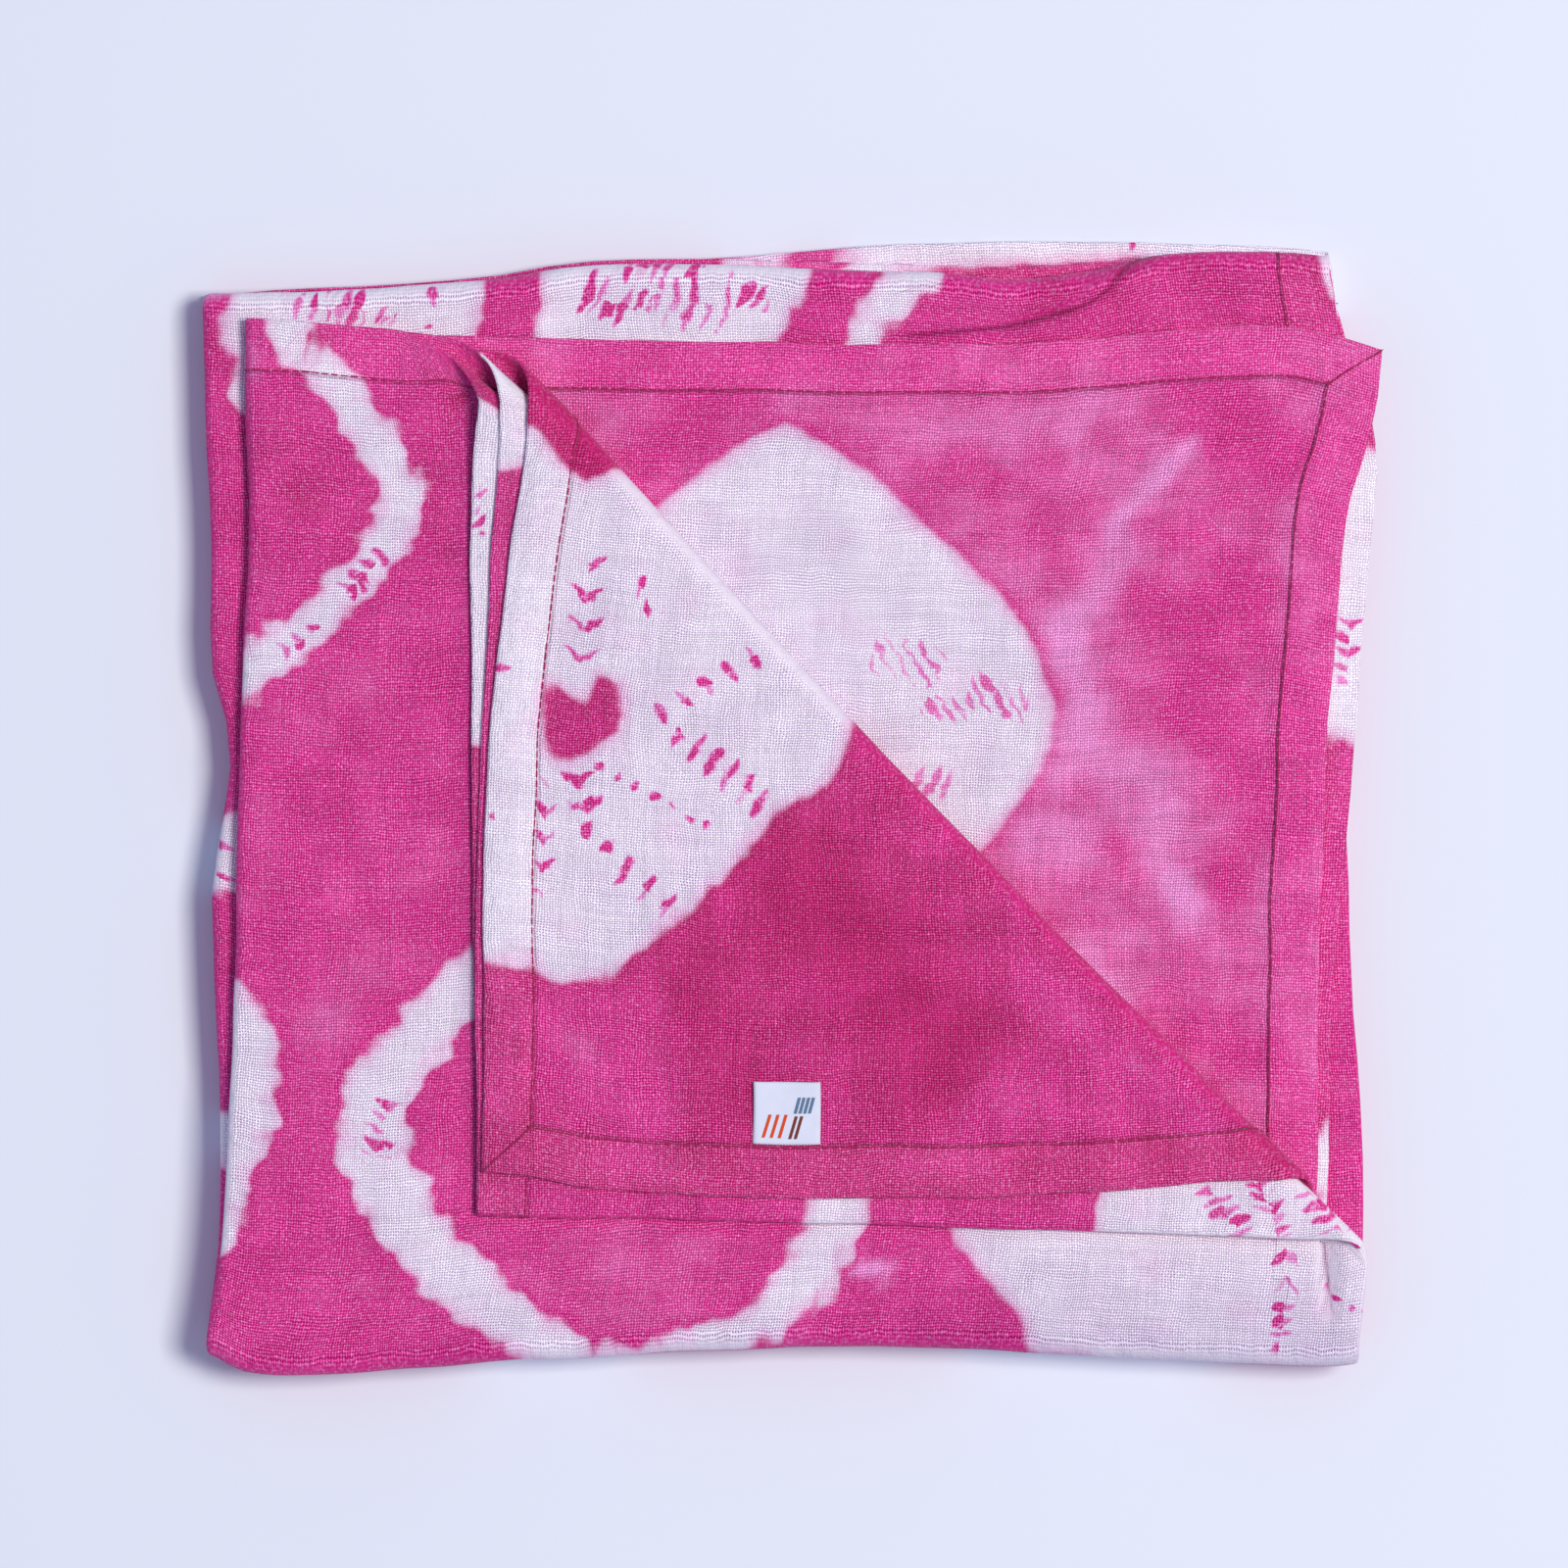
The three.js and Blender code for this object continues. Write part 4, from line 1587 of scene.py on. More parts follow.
        # The threads wander a little from their even spacing.
        slack_u, slack_v = (
            (f.noise(place, 0.07, 2.0) - 0.5) * 4.0 + (f.noise(place, 0.45, 1.0) - 0.5) * 0.7
            for place in (at, f.vector(v, u, 7.0))
        )
        across, down = u / self.thread_across + slack_u, v / self.thread_down + slack_v
        a, b = (across * math.pi).cosine(), (down * math.pi).cosine()
        over = a * b
        warp = a * a * (0.64 + over * 0.36)
        weft = b * b * (0.64 - over * 0.36)
        thread = warp.most(weft)
        # In the hems and where the weave is closer, the gaps are shallower.
        loose = f.noise(at, 0.06, 2.0).step(0.3, 0.7)
        thread = thread + (1.0 - loose) * 0.1 + hem * 0.1
        # Each yarn is thicker and lighter in some places than in others.
        yarn_u = f.noise(f.vector(across, v * 0.05), 0.9, 1.0)
        yarn_v = f.noise(f.vector(u * 0.05, down, 3.0), 0.9, 1.0)
        grain = f.noise(at, 1.25, 1.0, 0.6) - 0.5
        # Painted light: crossings where one set of threads lies on top are lighter, and the thread
        # tops get a painted highlight.
        light = over * 0.16 + (yarn_u - 0.5) * 0.4 + (yarn_v - 0.5) * 0.4 + grain * 0.55
        return thread, light + thread.step(0.6, 1.0) * 0.16


@dataclass(frozen=True)
class SeamThread:
    """The sewing thread of the hems."""

    shaded: Colour = srgb(150, 12, 70)
    lit: Colour = srgb(172, 34, 100)

    def material(self) -> bpy.types.Material:
        """Builds the material.

        Returns:
            The material.
        """
        f = Finish("seam_thread")
        twist = f.noise(f.node("ShaderNodeTexCoord", output="Object"), 3000.0, 2.0)
        return f.finish(f.mix(twist, self.shaded, self.lit), twist, 0.00005, 0.7, 0.1)


@dataclass(frozen=True)
class LabelTape:
    """White woven tape with two short rows of embroidery stitches."""

    width: float
    length: float
    white: Colour = srgb(224, 226, 248)
    orange: Colour = srgb(224, 74, 30)
    brown: Colour = srgb(120, 52, 44)
    slate: Colour = srgb(96, 122, 156)
    rib: float = 0.42

    def material(self) -> bpy.types.Material:
        """Builds the material from the label's own flat coordinates.

        Returns:
            The material.
        """
        f = Finish("label_tape")
        u, v, _ = f.parts(f.flat_place())
        u, v = u * self.length, v * self.width
        at = f.vector(u, v)
        ribs = (u * (math.pi / self.rib)).sine() * (v * (math.pi / self.rib)).sine()
        orange = self._strokes(u, v, (2.6, 9.2), (11.7, 3.1), 2.2)
        brown = self._strokes(u, v, (10.2, 13.2), (12.0, 3.0), 1.5)
        slate = self._strokes(u, v, (11.4, 16.6), (6.2, 2.1), 1.3)
        colour = f.mix(orange, self.white, self.orange)
        colour = f.mix(brown, colour, self.brown)
        colour = f.mix(slate, colour, self.slate)
        worn = f.noise(at, 0.3, 3.0)
        rim = v.least(self.width - v).step(0.9, 0.1) * 0.06
        colour = f.shade(colour, 0.95 + worn * 0.1 + ribs * 0.04 - rim)
        return f.finish(colour, ribs * 0.3 + (orange + brown + slate) * 0.6, 0.0002, 0.75, 0.1)

    @staticmethod
    def _strokes(
        u: Socket, v: Socket, across: tuple[float, float], row: tuple[float, float], pitch: float
    ) -> Socket:
        """A row of slanted stitches across the label.

        Args:
            u: the place along the label, from its free end.
            v: the place across it.
            across: where the row starts and ends.
            row: the middle of the row from the free end, and half its height.
            pitch: the distance from one stitch to the next.

        Returns:
            1 in the stitches.
        """
        height = row[0] - u
        tall = abs(height).step(row[1] + 0.1, row[1] - 0.1)
        place = (v - across[0] - height * 0.28) / pitch
        stitch = abs(place.fraction() - 0.5).step(0.54 / pitch, 0.36 / pitch)
        count = (across[1] - across[0]) / pitch
        return tall * stitch * place.step(-0.02, 0.02) * (count - place).step(-0.02, 0.02)


@dataclass(frozen=True)
class Backdrop:
    """The pale smooth table top."""

    colour: Colour = srgb(227, 230, 246)
    cloud: Colour = srgb(214, 220, 244)

    def material(self) -> bpy.types.Material:
        """Builds the material.

        Returns:
            The material.
        """
        f = Finish("table_top")
        cloud = f.noise(f.node("ShaderNodeTexCoord", output="Object"), 6.0, 2.0)
        return f.finish(f.mix(cloud * 0.04, self.colour, self.cloud), cloud, 0.0001, 0.8, 0.0)


# Pieces


def new_object(
    name: str, points: np.ndarray, faces: Sequence[Sequence[int]], material: bpy.types.Material
) -> bpy.types.Object:
    """Makes a piece with smooth faces.

    Args:
        name: the name of the piece.
        points: its points, in millimetres.
        faces: the numbers of the points around each face.
        material: its material.

    Returns:
        The piece.
    """
    mesh = bpy.data.meshes.new(name)
    mesh.from_pydata((np.asarray(points) * MM).tolist(), [], [list(map(int, f)) for f in faces])
    mesh.materials.append(material)
    mesh.polygons.foreach_set("use_smooth", [True] * len(mesh.polygons))
    mesh.update()
    piece = bpy.data.objects.new(name, mesh)
    bpy.context.scene.collection.objects.link(piece)
    return piece


def set_uv(mesh: bpy.types.Mesh, flat: np.ndarray) -> None:
    """Gives a mesh its flat coordinates.

    Args:
        mesh: the mesh.
        flat: a pair of numbers from 0 to 1 for each vertex.
    """
    layer = mesh.uv_layers.new(name="Flat")
    corners = np.zeros(len(mesh.loops), dtype=np.int32)
    mesh.loops.foreach_get("vertex_index", corners)
    layer.uv.foreach_set("vector", flat[corners].astype(np.float32).ravel())


def set_attribute(mesh: bpy.types.Mesh, name: str, domain: str, values: np.ndarray) -> None:
    """Gives a mesh an attribute of one number or of three.

    Args:
        mesh: the mesh.
        name: the name of the attribute.
        domain: what each value is for, as Blender names it.
        values: the values, in rows of three where they are vectors.
    """
    kind, field = ("FLOAT", "value") if values.ndim == 1 else ("FLOAT_VECTOR", "vector")
    layer = mesh.attributes.new(name, kind, domain)
    layer.data.foreach_set(field, values.astype(np.float32).ravel())


def close_sheet(polygons: Sequence[Sequence[int]], count: int) -> list[list[int]]:
    """Doubles the facets of a sheet into its two faces and joins them around its edge.

    Args:
        polygons: the facets of one face.
        count: the number of its points, which is added to get those of the other face.

    Returns:
        The facets of the closed sheet.
    """
    faces = [list(p) for p in polygons]
    faces += [[i + count for i in reversed(p)] for p in polygons]
    edges: set[tuple[int, int]] = set()
    for polygon in polygons:
        for a, b in zip(polygon, polygon[1:] + polygon[:1]):
            if (b, a) in edges:
                edges.remove((b, a))
            else:
                edges.add((a, b))
    return faces + [[b, a, a + count, b + count] for a, b in sorted(edges)]


def two_sided(
    middle: np.ndarray, up: np.ndarray, upper: np.ndarray, lower: np.ndarray
) -> np.ndarray:
    """The points of the upper face of a sheet, and after them those of the lower face."""
    return np.concatenate([middle + up * upper[:, None], middle + up * lower[:, None]])


@dataclass
class Blanket:
    """The folded cloth: its mesh follows the fold, finer where the cloth shows.

    rim is the width of its rounded edge and pucker how far the hems gather it. On the upper face,
    right of calm_from, the edges of the white are only as jagged as calm says.
    """

    fold: FoldedCloth
    dye: DyeMap
    thickness: float = 0.72
    rim: float = 0.9
    hem: float = 14.0
    hem_rise: float = 0.5
    hidden_rise: float = 0.16
    cell: float = 4.0
    hidden_cell: float = 12.0
    turn_cells: int = 10
    roll_cells: int = 10
    pucker: float = 0.2
    calm_from: float = 30.0
    calm: float = 0.4

    def size(self) -> tuple[float, float]:
        """The flat size of the cloth, across and down."""
        return self.fold.across()[-1].end, self.fold.down()[-1].end

    def build(self) -> bpy.types.Object:
        """Makes the blanket.

        Returns:
            The finished piece, with its UV map and its dye attributes.
        """
        width, length = self.size()
        flat, polygons = self._flat_polygons()
        u, v = flat[:, 0], flat[:, 1]
        laid = self.fold.lay(u, v)
        up = self.fold.normals(u, v)
        points = two_sided(laid.points(), up, *self.faces_at(u, v, laid))
        faces = close_sheet(polygons, len(flat))
        finish = DyedMuslin(width, length, self.hem).material()
        piece = new_object("folded_blanket", points, faces, finish)
        share = np.stack([u / width, v / length], axis=1)
        set_uv(piece.data, np.concatenate([share, share]))
        self._add_dye(piece.data, laid, up)
        return piece

    def faces_at(
        self, u: np.ndarray, v: np.ndarray, laid: Laid
    ) -> tuple[np.ndarray, np.ndarray]:
        """How far the two faces of the cloth lie from its middle.

        Args:
            u: distances across the cloth.
            v: distances down it.
            laid: the same places in the fold.

        Returns:
            The heights of the face with the hems and of the other face.
        """
        width, length = self.size()
        edge = np.minimum(np.minimum(u, width - u), np.minimum(v, length - v))
        rounded = 0.45 + 0.55 * np.sqrt(np.clip(edge / self.rim, 0, 1))
        in_hem = np.clip((self.hem - edge) / 0.5, 0, 1)
        turned = (laid.column == Column.B) & (laid.past > 0)
        bared = (laid.column == Column.A) & (laid.x > -60)
        shows = (laid.row == Row.FIRST) & (turned | bared)
        rise = in_hem * np.where(shows, self.hem_rise, self.hidden_rise)
        near = np.exp(-(((edge - self.hem) / 6.0) ** 2)) * self.pucker
        gathered = near * waves(u, v, seed=11, longest=16.0, shortest=7.0)
        stitched = 0.12 * np.exp(-(((edge - self.hem + 0.7) / 0.5) ** 2))
        half = self.thickness / 2 * rounded
        return gathered + half + rise * rounded - stitched, gathered - half + stitched

    def _columns(self) -> tuple[np.ndarray, np.ndarray]:
        """The lines that the mesh has across the width of the cloth.

        Returns:
            Where the lines are, and which of them the hidden rows keep.
        """
        across = self.fold.across()
        width, hem, rim, near = across[-1].end, self.hem, self.rim, 18
        a, left, d, right, c, inner, b = across
        spans = [
            (rim, 1), (hem - rim, 3), (hem, 1), (a.end, round((a.end - hem) / self.cell)),
            (left.end, 8), (d.end - near, round((d.end - d.start - near) / self.cell)),
            (d.end, 10), (right.end, 4), (c.start + near, 6),
            (c.end, round((c.end - c.start - near) / 6)), (inner.end, 4),
            (width - hem, round((b.end - b.start - hem) / self.cell)),
            (width - hem + rim, 1), (width - rim, 3), (width, 1),
        ]
        lines, kept = [0.0], [True]
        ends = {s.start for s in across} | {width, rim, hem - rim, hem}
        ends |= {width - e for e in (rim, hem - rim, hem)} | {s.end for s in across}
        for end, count in spans:
            start = lines[-1]
            for i in range(1, count + 1):
                lines.append(start + (end - start) * i / count)
                in_turn = any(s.turns and s.start < lines[-1] < s.end for s in across)
                at_end = min(abs(lines[-1] - e) for e in ends) < 1e-6
                kept.append(in_turn or at_end or i % 3 == 0)
        return np.array(lines), np.array(kept)

    def _rows(self) -> tuple[np.ndarray, np.ndarray]:
        """The lines that the mesh has down the length of the cloth.

        Returns:
            Where the lines are, and whether the cells below each of them are fine.
        """
        down = self.fold.down()
        length, hem, rim = down[-1].end, self.hem, self.rim
        lines, fine = [0.0, rim, hem - rim, hem], [True] * 4

        def add(end: float, cell: float, is_fine: bool) -> None:
            """Adds evenly spaced lines.

            Args:
                end: the place of the last of them.
                cell: about how far apart they are.
                is_fine: whether the cells between them are fine.
            """
            start = lines[-1]
            count = max(1, round((end - start) / cell))
            lines.extend(start + (end - start) * i / count for i in range(1, count + 1))
            fine.extend([is_fine] * count)

        add(down[0].end, self.cell, True)
        add(down[1].end, (down[1].end - down[1].start) / self.turn_cells, True)
        add(down[2].end - 26, self.hidden_cell, False)
        add(down[2].end, 1.45, True)
        add(down[3].end, (down[3].end - down[3].start) / self.turn_cells, True)
        add(down[3].end + 12, self.cell, True)
        add(down[4].end, self.hidden_cell, False)
        add(down[5].end, (down[5].end - down[5].start) / self.turn_cells, False)
        add(length - hem, self.hidden_cell, False)
        add(length - hem + rim, rim, False)
        add(length - rim, self.hidden_cell / 2, False)
        add(length, rim, False)
        return np.array(lines), np.array(fine[1:])

    def _flat_polygons(self) -> tuple[np.ndarray, list[list[int]]]:
        """The mesh of the flat cloth, cut along the lines of the roll.

        Returns:
            The places of its vertices, across and down, and its facets.
        """
        across, kept = self._columns()
        down, fine = self._rows()
        count = len(across)
        coarse = np.flatnonzero(kept).tolist()
        polygons: list[list[int]] = []
        for j in range(len(down) - 1):
            columns = list(range(count)) if fine[j] else coarse
            fine_above = j > 0 and fine[j - 1]
            fine_below = j + 1 < len(fine) and fine[j + 1]
            for i0, i1 in zip(columns, columns[1:]):
                first = range(i0, i1 + 1) if fine_above else (i0, i1)
                last = range(i0, i1 + 1) if fine_below else (i0, i1)
                polygons.append(
                    [j * count + i for i in first] + [(j + 1) * count + i for i in reversed(last)]
                )
        grid = np.stack(np.meshgrid(across, down), axis=2).reshape(-1, 2)
        flat, polygons = self._cut_roll(grid, polygons)
        used = np.unique(np.concatenate([np.array(p) for p in polygons]))
        number = np.full(len(flat), -1)
        number[used] = np.arange(len(used))
        return flat[used], [number[p].tolist() for p in polygons]

    def _cut_roll(
        self, grid: np.ndarray, polygons: list[list[int]]
    ) -> tuple[np.ndarray, list[list[int]]]:
        """Cuts the facets that lie in the roll of the turned corner along the roll.

        Args:
            grid: the places of the mesh on the flat cloth.
            polygons: its facets.

        Returns:
            The places with the new ones at their end, and the facets.
        """
        cloth = self.fold.corner.cloth
        past = self.fold.lay(grid[:, 0], grid[:, 1]).past.tolist()
        places = grid.tolist()
        away = [p for p in polygons if not self._in_roll([past[i] for i in p], cloth)]
        cut = [p for p in polygons if self._in_roll([past[i] for i in p], cloth)]
        for k in range(self.roll_cells + 1):
            cut = cut_along(cut, places, past, cloth * k / self.roll_cells, snap=0.2)
        return np.array(places), away + cut

    @staticmethod
    def _in_roll(past: Sequence[float], cloth: float) -> bool:
        """Whether a facet has a part in the roll."""
        return max(past) > 0 and min(past) < cloth

    def _add_dye(self, mesh: bpy.types.Mesh, laid: Laid, up: np.ndarray) -> None:
        """Gives the mesh the attributes that the material of the cloth reads.

        Args:
            mesh: the mesh of both faces of the cloth.
            laid: the places of one face in the fold.
            up: the way up from the cloth at each of them.
        """
        where = face_of(laid)
        jagged = np.array([JAGGED[face] for face in Face])[where]
        jagged[(where == Face.UPPER) & (laid.face_x > self.calm_from)] = self.calm
        away, dark = self.dye.pinch(laid)
        values = {
            "white": self.dye.white(laid),
            "depth": self.dye.depth(laid),
            "teeth": jagged,
            "shade": self.dye.shade(laid),
            "steep": 1.0 - np.abs(up[:, 2]),
            "pinch": np.stack([away, dark, 0 * dark], axis=1),
        }
        for name, value in values.items():
            set_attribute(mesh, name, "POINT", np.concatenate([value, value]))
        face_xy = np.stack([laid.face_x, laid.face_y], axis=1)
        marks = np.tile(NO_MARKS, (len(mesh.loops), 1))
        for polygon in mesh.polygons:
            corners = [i % len(where) for i in polygon.vertices]
            face = int(where[corners[0]])
            if self.dye.chains[face]:
                places = face_xy[corners]
                found = self.dye.marks(face, places.mean(axis=0), places)
                marks[polygon.loop_start : polygon.loop_start + len(corners)] = found
        set_attribute(mesh, "marks", "CORNER", marks[:, :3])
        set_attribute(mesh, "form", "CORNER", marks[:, 3:])


def cut_along(
    polygons: list[list[int]],
    places: list[list[float]],
    past: list[float],
    level: float,
    snap: float,
) -> list[list[int]]:
    """Splits facets along the line where a measured value passes a level.

    Args:
        polygons: the facets, as numbers of places.
        places: where the places are on the flat cloth; new ones are added at its end.
        past: the measured value at each place, lengthened with it.
        level: the value to cut at.
        snap: how near to the level a place counts as on it.

    Returns:
        The facets after the cut.
    """
    crossings: dict[tuple[int, int], int] = {}
    done: list[list[int]] = []
    for polygon in polygons:
        off = [past[i] - level for i in polygon]
        sides = [0 if abs(o) < snap else (1 if o > 0 else -1) for o in off]
        if 1 not in sides or -1 not in sides:
            done.append(polygon)
            continue
        low, high = [], []
        for k, i in enumerate(polygon):
            n = (k + 1) % len(polygon)
            j = polygon[n]
            if sides[k] <= 0:
                low.append(i)
            if sides[k] >= 0:
                high.append(i)
            if sides[k] * sides[n] != -1:
                continue
            key = (min(i, j), max(i, j))
            if key not in crossings:
                t = off[k] / (off[k] - off[n])
                places.append([a + (b - a) * t for a, b in zip(places[i], places[j])])
                past.append(level)
                crossings[key] = len(places) - 1
            low.append(crossings[key])
            high.append(crossings[key])
        done += [part for part in (low, high) if len(part) > 2]
    return done


@dataclass
class HemSeams:
    """The rows of stitches along the hems and across their mitred corners, on both faces.

    inset is how far they are from the edge, stitch how long each stitch is and pitch how far apart.
    """

    blanket: Blanket
    inset: float = 13.3
    pitch: float = 2.6
    stitch: float = 3.0
    width: float = 0.54
    lift: float = 0.04
    seed: int = 4

    def build(self) -> bpy.types.Object:
        """Makes the stitches.

        Returns:
            One mesh of all the stitches.
        """
        guide = self._guide()
        tree = self._stitch_tree(SeamThread().material())
        modifier = guide.modifiers.new("stitches", "NODES")
        modifier.node_group = tree
        values = {
            "Pitch": self.pitch * MM,
            "Length": self.stitch * MM,
            "Width": self.width * MM,
            "Seed": self.seed,
        }
        for item in tree.interface.items_tree:
            if item.name in values and item.in_out == "INPUT":
                modifier[item.identifier] = values[item.name]
        graph = bpy.context.evaluated_depsgraph_get()
        mesh = bpy.data.meshes.new_from_object(guide.evaluated_get(graph))
        guide.modifiers.remove(modifier)
        piece = bpy.data.objects.new("hem_stitches", mesh)
        bpy.context.scene.collection.objects.link(piece)
        bpy.data.objects.remove(guide)
        return piece

    def _paths(self) -> list[np.ndarray]:
        """The seams that can be seen.

        Returns:
            Evenly spaced places on the flat cloth for each seam.
        """
        width, length = self.blanket.size()
        inset = self.inset
        first = self.blanket.fold.down()[0].end + 6
        low = self.blanket.fold.down()[2].end
        right, bottom = width - inset, length - inset
        paths = [
            [(inset, inset), (right, inset)],
            [(inset, inset), (inset, first)],
            [(right, inset), (right, first)],
            [(inset, low - 34), (inset, low + 8)],
            [(inset, bottom), (right, bottom)],
            [(inset - 0.6, inset - 0.6), (0.9, 0.9)],
            [(right + 0.6, inset - 0.6), (width - 0.9, 0.9)],
        ]
        return [self._sample(np.array(path, dtype=float)) for path in paths]

    @staticmethod
    def _sample(path: np.ndarray, spacing: float = 1.0) -> np.ndarray:
        """Finds places at an even spacing along a straight path.

        Args:
            path: the two ends of the path.
            spacing: about how far apart the places are.

        Returns:
            The places.
        """
        count = max(2, int(np.linalg.norm(path[1] - path[0]) / spacing) + 1)
        t = np.linspace(0, 1, count)[:, None]
        return path[0] * (1 - t) + path[1] * t

    def _guide(self) -> bpy.types.Object:
        """Makes the lines that the stitches follow, along the seams on both faces of the cloth.

        Returns:
            A mesh of the lines, with the way up from the cloth as an attribute.
        """
        points, ways, edges = [], [], []
        for path in self._paths():
            u, v = path[:, 0], path[:, 1]
            laid = self.blanket.fold.lay(u, v)
            up = self.blanket.fold.normals(u, v)
            upper, lower = self.blanket.faces_at(u, v, laid)
            for height, side in ((upper + self.lift, 1), (lower - self.lift, -1)):
                start = len(points)
                points.extend(laid.points() + up * height[:, None])
                ways.extend(up * side)
                edges.extend((i, i + 1) for i in range(start, start + len(path) - 1))
        mesh = bpy.data.meshes.new("seam_lines")
        mesh.from_pydata((np.array(points) * MM).tolist(), edges, [])
        set_attribute(mesh, "way_up", "POINT", np.array(ways))
        guide = bpy.data.objects.new("seam_lines", mesh)
        bpy.context.scene.collection.objects.link(guide)
        return guide

    def _stitch_tree(self, thread: bpy.types.Material) -> bpy.types.NodeTree:
        """Geometry nodes that lay a stitch at every pitch along the lines of a mesh.

        Args:
            thread: the material of the stitches.

        Returns:
            The node group.
        """
        tree = bpy.data.node_groups.new("stitches", "GeometryNodeTree")
        tree.interface.new_socket("Geometry", in_out="INPUT", socket_type="NodeSocketGeometry")
        for name in ("Pitch", "Length", "Width"):
            tree.interface.new_socket(name, in_out="INPUT", socket_type="NodeSocketFloat")
        tree.interface.new_socket("Seed", in_out="INPUT", socket_type="NodeSocketInt")
        tree.interface.new_socket("Geometry", in_out="OUTPUT", socket_type="NodeSocketGeometry")
        group = tree.nodes.new("NodeGroupInput")
        lines, pitch, length, width, seed = (Socket(tree, group.outputs[i]) for i in range(5))
        curve = add_node(tree, "GeometryNodeMeshToCurve", None, {"Mesh": lines})
        spacing = {"Curve": curve, "Length": pitch}
        points = add_node(tree, "GeometryNodeCurveToPoints", {"mode": "LENGTH"}, spacing)
        tangent = Socket(tree, points.socket.node.outputs["Tangent"])
        vector, turn = {"data_type": "FLOAT_VECTOR"}, "FunctionNodeAlignRotationToVector"
        named = {"Name": "way_up"}
        way_up = add_node(tree, "GeometryNodeInputNamedAttribute", vector, named, "Attribute")
        lined = add_node(tree, turn, {"axis": "X"}, {"Vector": tangent})
        upright = {"Rotation": lined, "Vector": way_up}
        laid = add_node(tree, turn, {"axis": "Z", "pivot_axis": "X"}, upright)
        sphere = {"Segments": 6, "Rings": 4, "Radius": 0.5}
        ball = add_node(tree, "GeometryNodeMeshUVSphere", None, sphere)
        size = add_node(tree, "ShaderNodeCombineXYZ", None, {0: length, 1: width, 2: width * 0.7})
        stitch = add_node(tree, "GeometryNodeTransform", None, {"Geometry": ball, "Scale": size})
        limits = {0: (0.85, 0.8, 0.8), 1: (1.1, 1.2, 1.15), "Seed": seed}
        vary = add_node(tree, "FunctionNodeRandomValue", vector, limits)
        copies = {"Points": points, "Instance": stitch, "Rotation": laid, "Scale": vary}
        placed = add_node(tree, "GeometryNodeInstanceOnPoints", None, copies)
        real = add_node(tree, "GeometryNodeRealizeInstances", None, {"Geometry": placed})
        rounded = add_node(tree, "GeometryNodeSetShadeSmooth", None, {"Geometry": real})
        dressed = {"Geometry": rounded, "Material": thread}
        ended = add_node(tree, "GeometryNodeSetMaterial", None, dressed)
        end = tree.nodes.new("NodeGroupOutput")
        tree.links.new(ended.socket, end.inputs[0])
        return tree


@dataclass
class Label:
    """The woven label: a tab of tape folded double, with its ends in the seam of the hem.

    down is how far its middle is from the top hem, and gap how far it ends from the hem's fold.
    """

    blanket: Blanket
    width: float = 18.5
    length: float = 16.6
    down: float = 82.5
    gap: float = 0.3
    thickness: float = 0.55
    clearance: float = 0.12
    cells: int = 22

    def build(self) -> bpy.types.Object:
        """Makes the label.

        Returns:
            The finished piece, with its UV map.
        """
        width, _ = self.blanket.size()
        inner = width - self.blanket.hem - self.length - self.gap
        share = np.linspace(0, 1, self.cells + 1)
        a, b = (g.ravel() for g in np.meshgrid(share, share, indexing="ij"))
        u, v = inner + self.length * a, self.down + self.width * (b - 0.5)
        laid = self.blanket.fold.lay(u, v)
        up = self.blanket.fold.normals(u, v)
        upper, _ = self.blanket.faces_at(u, v, laid)
        free = (1 - a) ** 2
        curl = free * (0.35 + 0.5 * (2 * b - 1) ** 2) + 0.12 * np.sin(9 * b + 4 * a) * (1 - a)
        edge = np.minimum(np.minimum(b, 1 - b) * self.width, a * self.length)
        rounded = np.sqrt(np.clip(edge / 0.35, 0.08, 1))
        middle = upper + self.clearance + self.thickness / 2 + curl
        half = self.thickness / 2 * rounded
        points = two_sided(laid.points(), up, middle + half, middle - half)
        side = self.cells + 1
        quads = [
            [i * side + j, (i + 1) * side + j, (i + 1) * side + j + 1, i * side + j + 1]
            for i in range(self.cells)
            for j in range(self.cells)
        ]
        faces = close_sheet(quads, side * side)
        finish = LabelTape(self.width, self.length).material()
        piece = new_object("woven_label", points, faces, finish)
        flat = np.stack([a, b], axis=1)
        set_uv(piece.data, np.concatenate([flat, flat]))
        return piece


# The studio


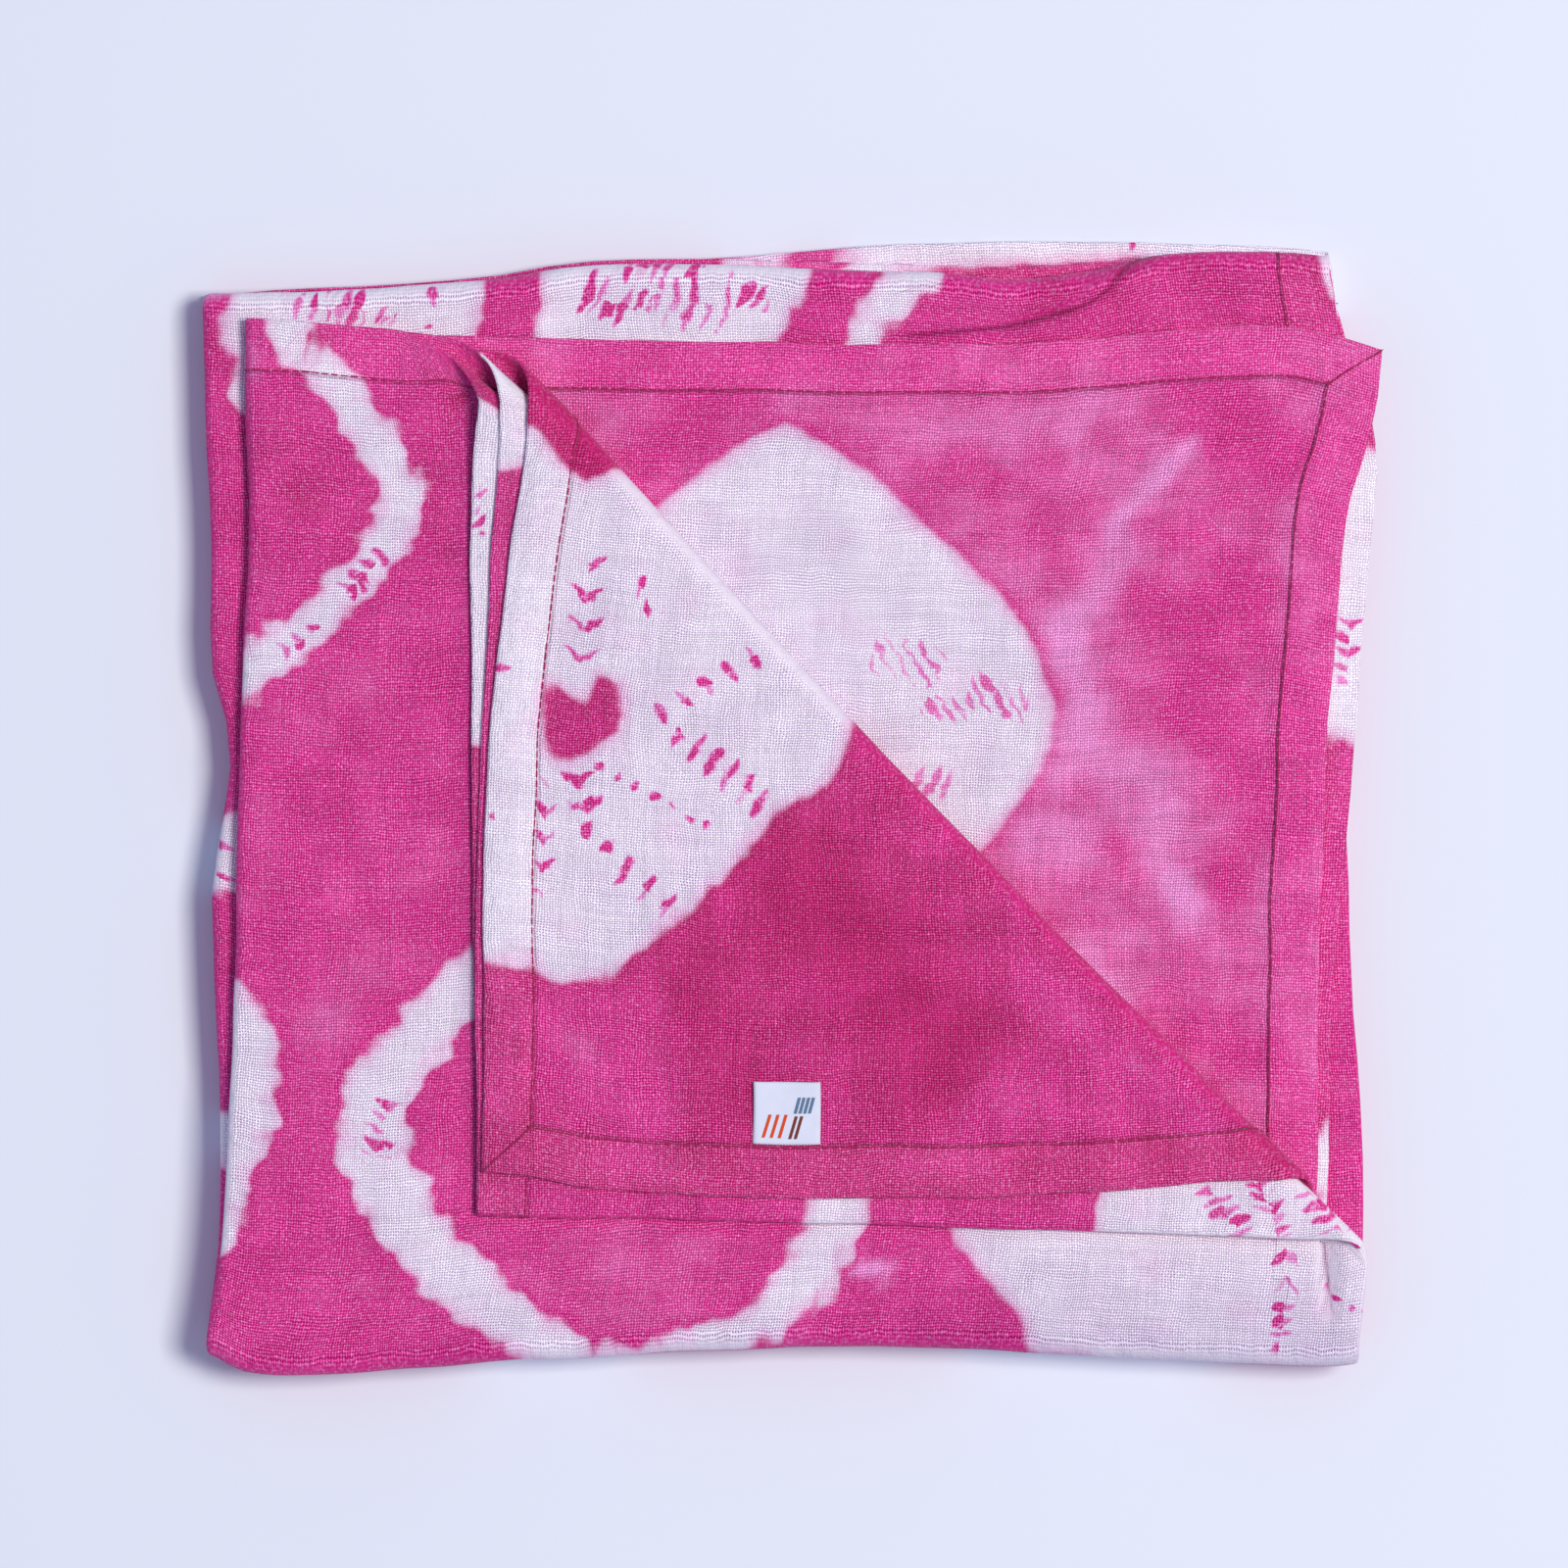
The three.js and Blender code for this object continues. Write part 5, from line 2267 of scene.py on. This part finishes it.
@dataclass
class Studio:
    """The table top, the soft light and the camera straight above."""

    frame_width: float = 1600 * STEP
    centre: tuple[float, float] = (-1.87, 5.76)
    camera_height: float = 4000.0
    focus_height: float = 20.0
    floor_size: float = 6.0
    floor_drop: float = 0.25

    def build(self) -> None:
        """Makes the floor, the lights and the camera, and sets how colours are shown."""
        self._camera()
        self._floor()
        self._lights()
        view = bpy.context.scene.view_settings
        view.view_transform = "Standard"
        view.look = "None"

    def _camera(self) -> None:
        """A camera with a long lens that looks straight down."""
        data = bpy.data.cameras.new("camera")
        data.sensor_width = 36.0
        distance = self.camera_height - self.focus_height
        data.lens = data.sensor_width * distance / self.frame_width
        data.clip_start, data.clip_end = 0.1, 100.0
        camera = bpy.data.objects.new("camera", data)
        camera.location = (self.centre[0] * MM, self.centre[1] * MM, self.camera_height * MM)
        bpy.context.scene.collection.objects.link(camera)
        bpy.context.scene.camera = camera

    def _floor(self) -> None:
        """A wide table top just under the cloth."""
        half = self.floor_size / 2 / MM
        corners = np.array([(-half, -half, 0), (half, -half, 0), (half, half, 0), (-half, half, 0)])
        corners = corners - (0, 0, self.floor_drop)
        new_object("table_top", corners, [[0, 1, 2, 3]], Backdrop().material())

    def _lights(self) -> None:
        """A soft light high on the right, and a pale bluish sky."""
        self._softbox("key", (1.45, 0.22, 3.4), 1.1, 109.0, (1.0, 0.972, 0.85))
        world = bpy.data.worlds.new("studio")
        world.use_nodes = True
        sky = world.node_tree.nodes["Background"]
        sky.inputs["Color"].default_value = (0.66, 0.76, 1.04, 1.0)
        sky.inputs["Strength"].default_value = 0.415
        bpy.context.scene.world = world

    def _softbox(
        self, name: str, place: Sequence[float], size: float, power: float, colour: Colour
    ) -> None:
        """Adds a square area light that points at the blanket.

        Args:
            name: its name.
            place: where it is, in metres.
            size: the length of its side.
            power: its power in watts.
            colour: its colour.
        """
        data = bpy.data.lights.new(name, "AREA")
        data.shape, data.size, data.energy, data.color = "SQUARE", size, power, colour
        light = bpy.data.objects.new(name, data)
        light.location = place
        light.rotation_euler = (-Vector(place)).to_track_quat("-Z", "Y").to_euler()
        bpy.context.scene.collection.objects.link(light)


def main() -> None:
    """Builds the studio, the blanket, its stitches and its label."""
    logging.basicConfig(level=logging.INFO, format="%(message)s")
    Studio().build()
    blanket = Blanket(FoldedCloth(), DyeMap())
    cloth = blanket.build()
    stitches = HemSeams(blanket).build()
    label = Label(blanket).build()
    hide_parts("blanket")
    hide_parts("label")
    for piece, slot in ((cloth, "dyed_muslin"), (stitches, "dyed_muslin"), (label, "label_tape")):
        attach(piece, "root")
        mesh = piece.data
        mesh.calc_loop_triangles()
        log.info("%s: %d triangles", piece.name, len(mesh.loop_triangles))
    width, length = blanket.size()
    width * MM
    length * MM


if __name__ == "__main__":
    main()
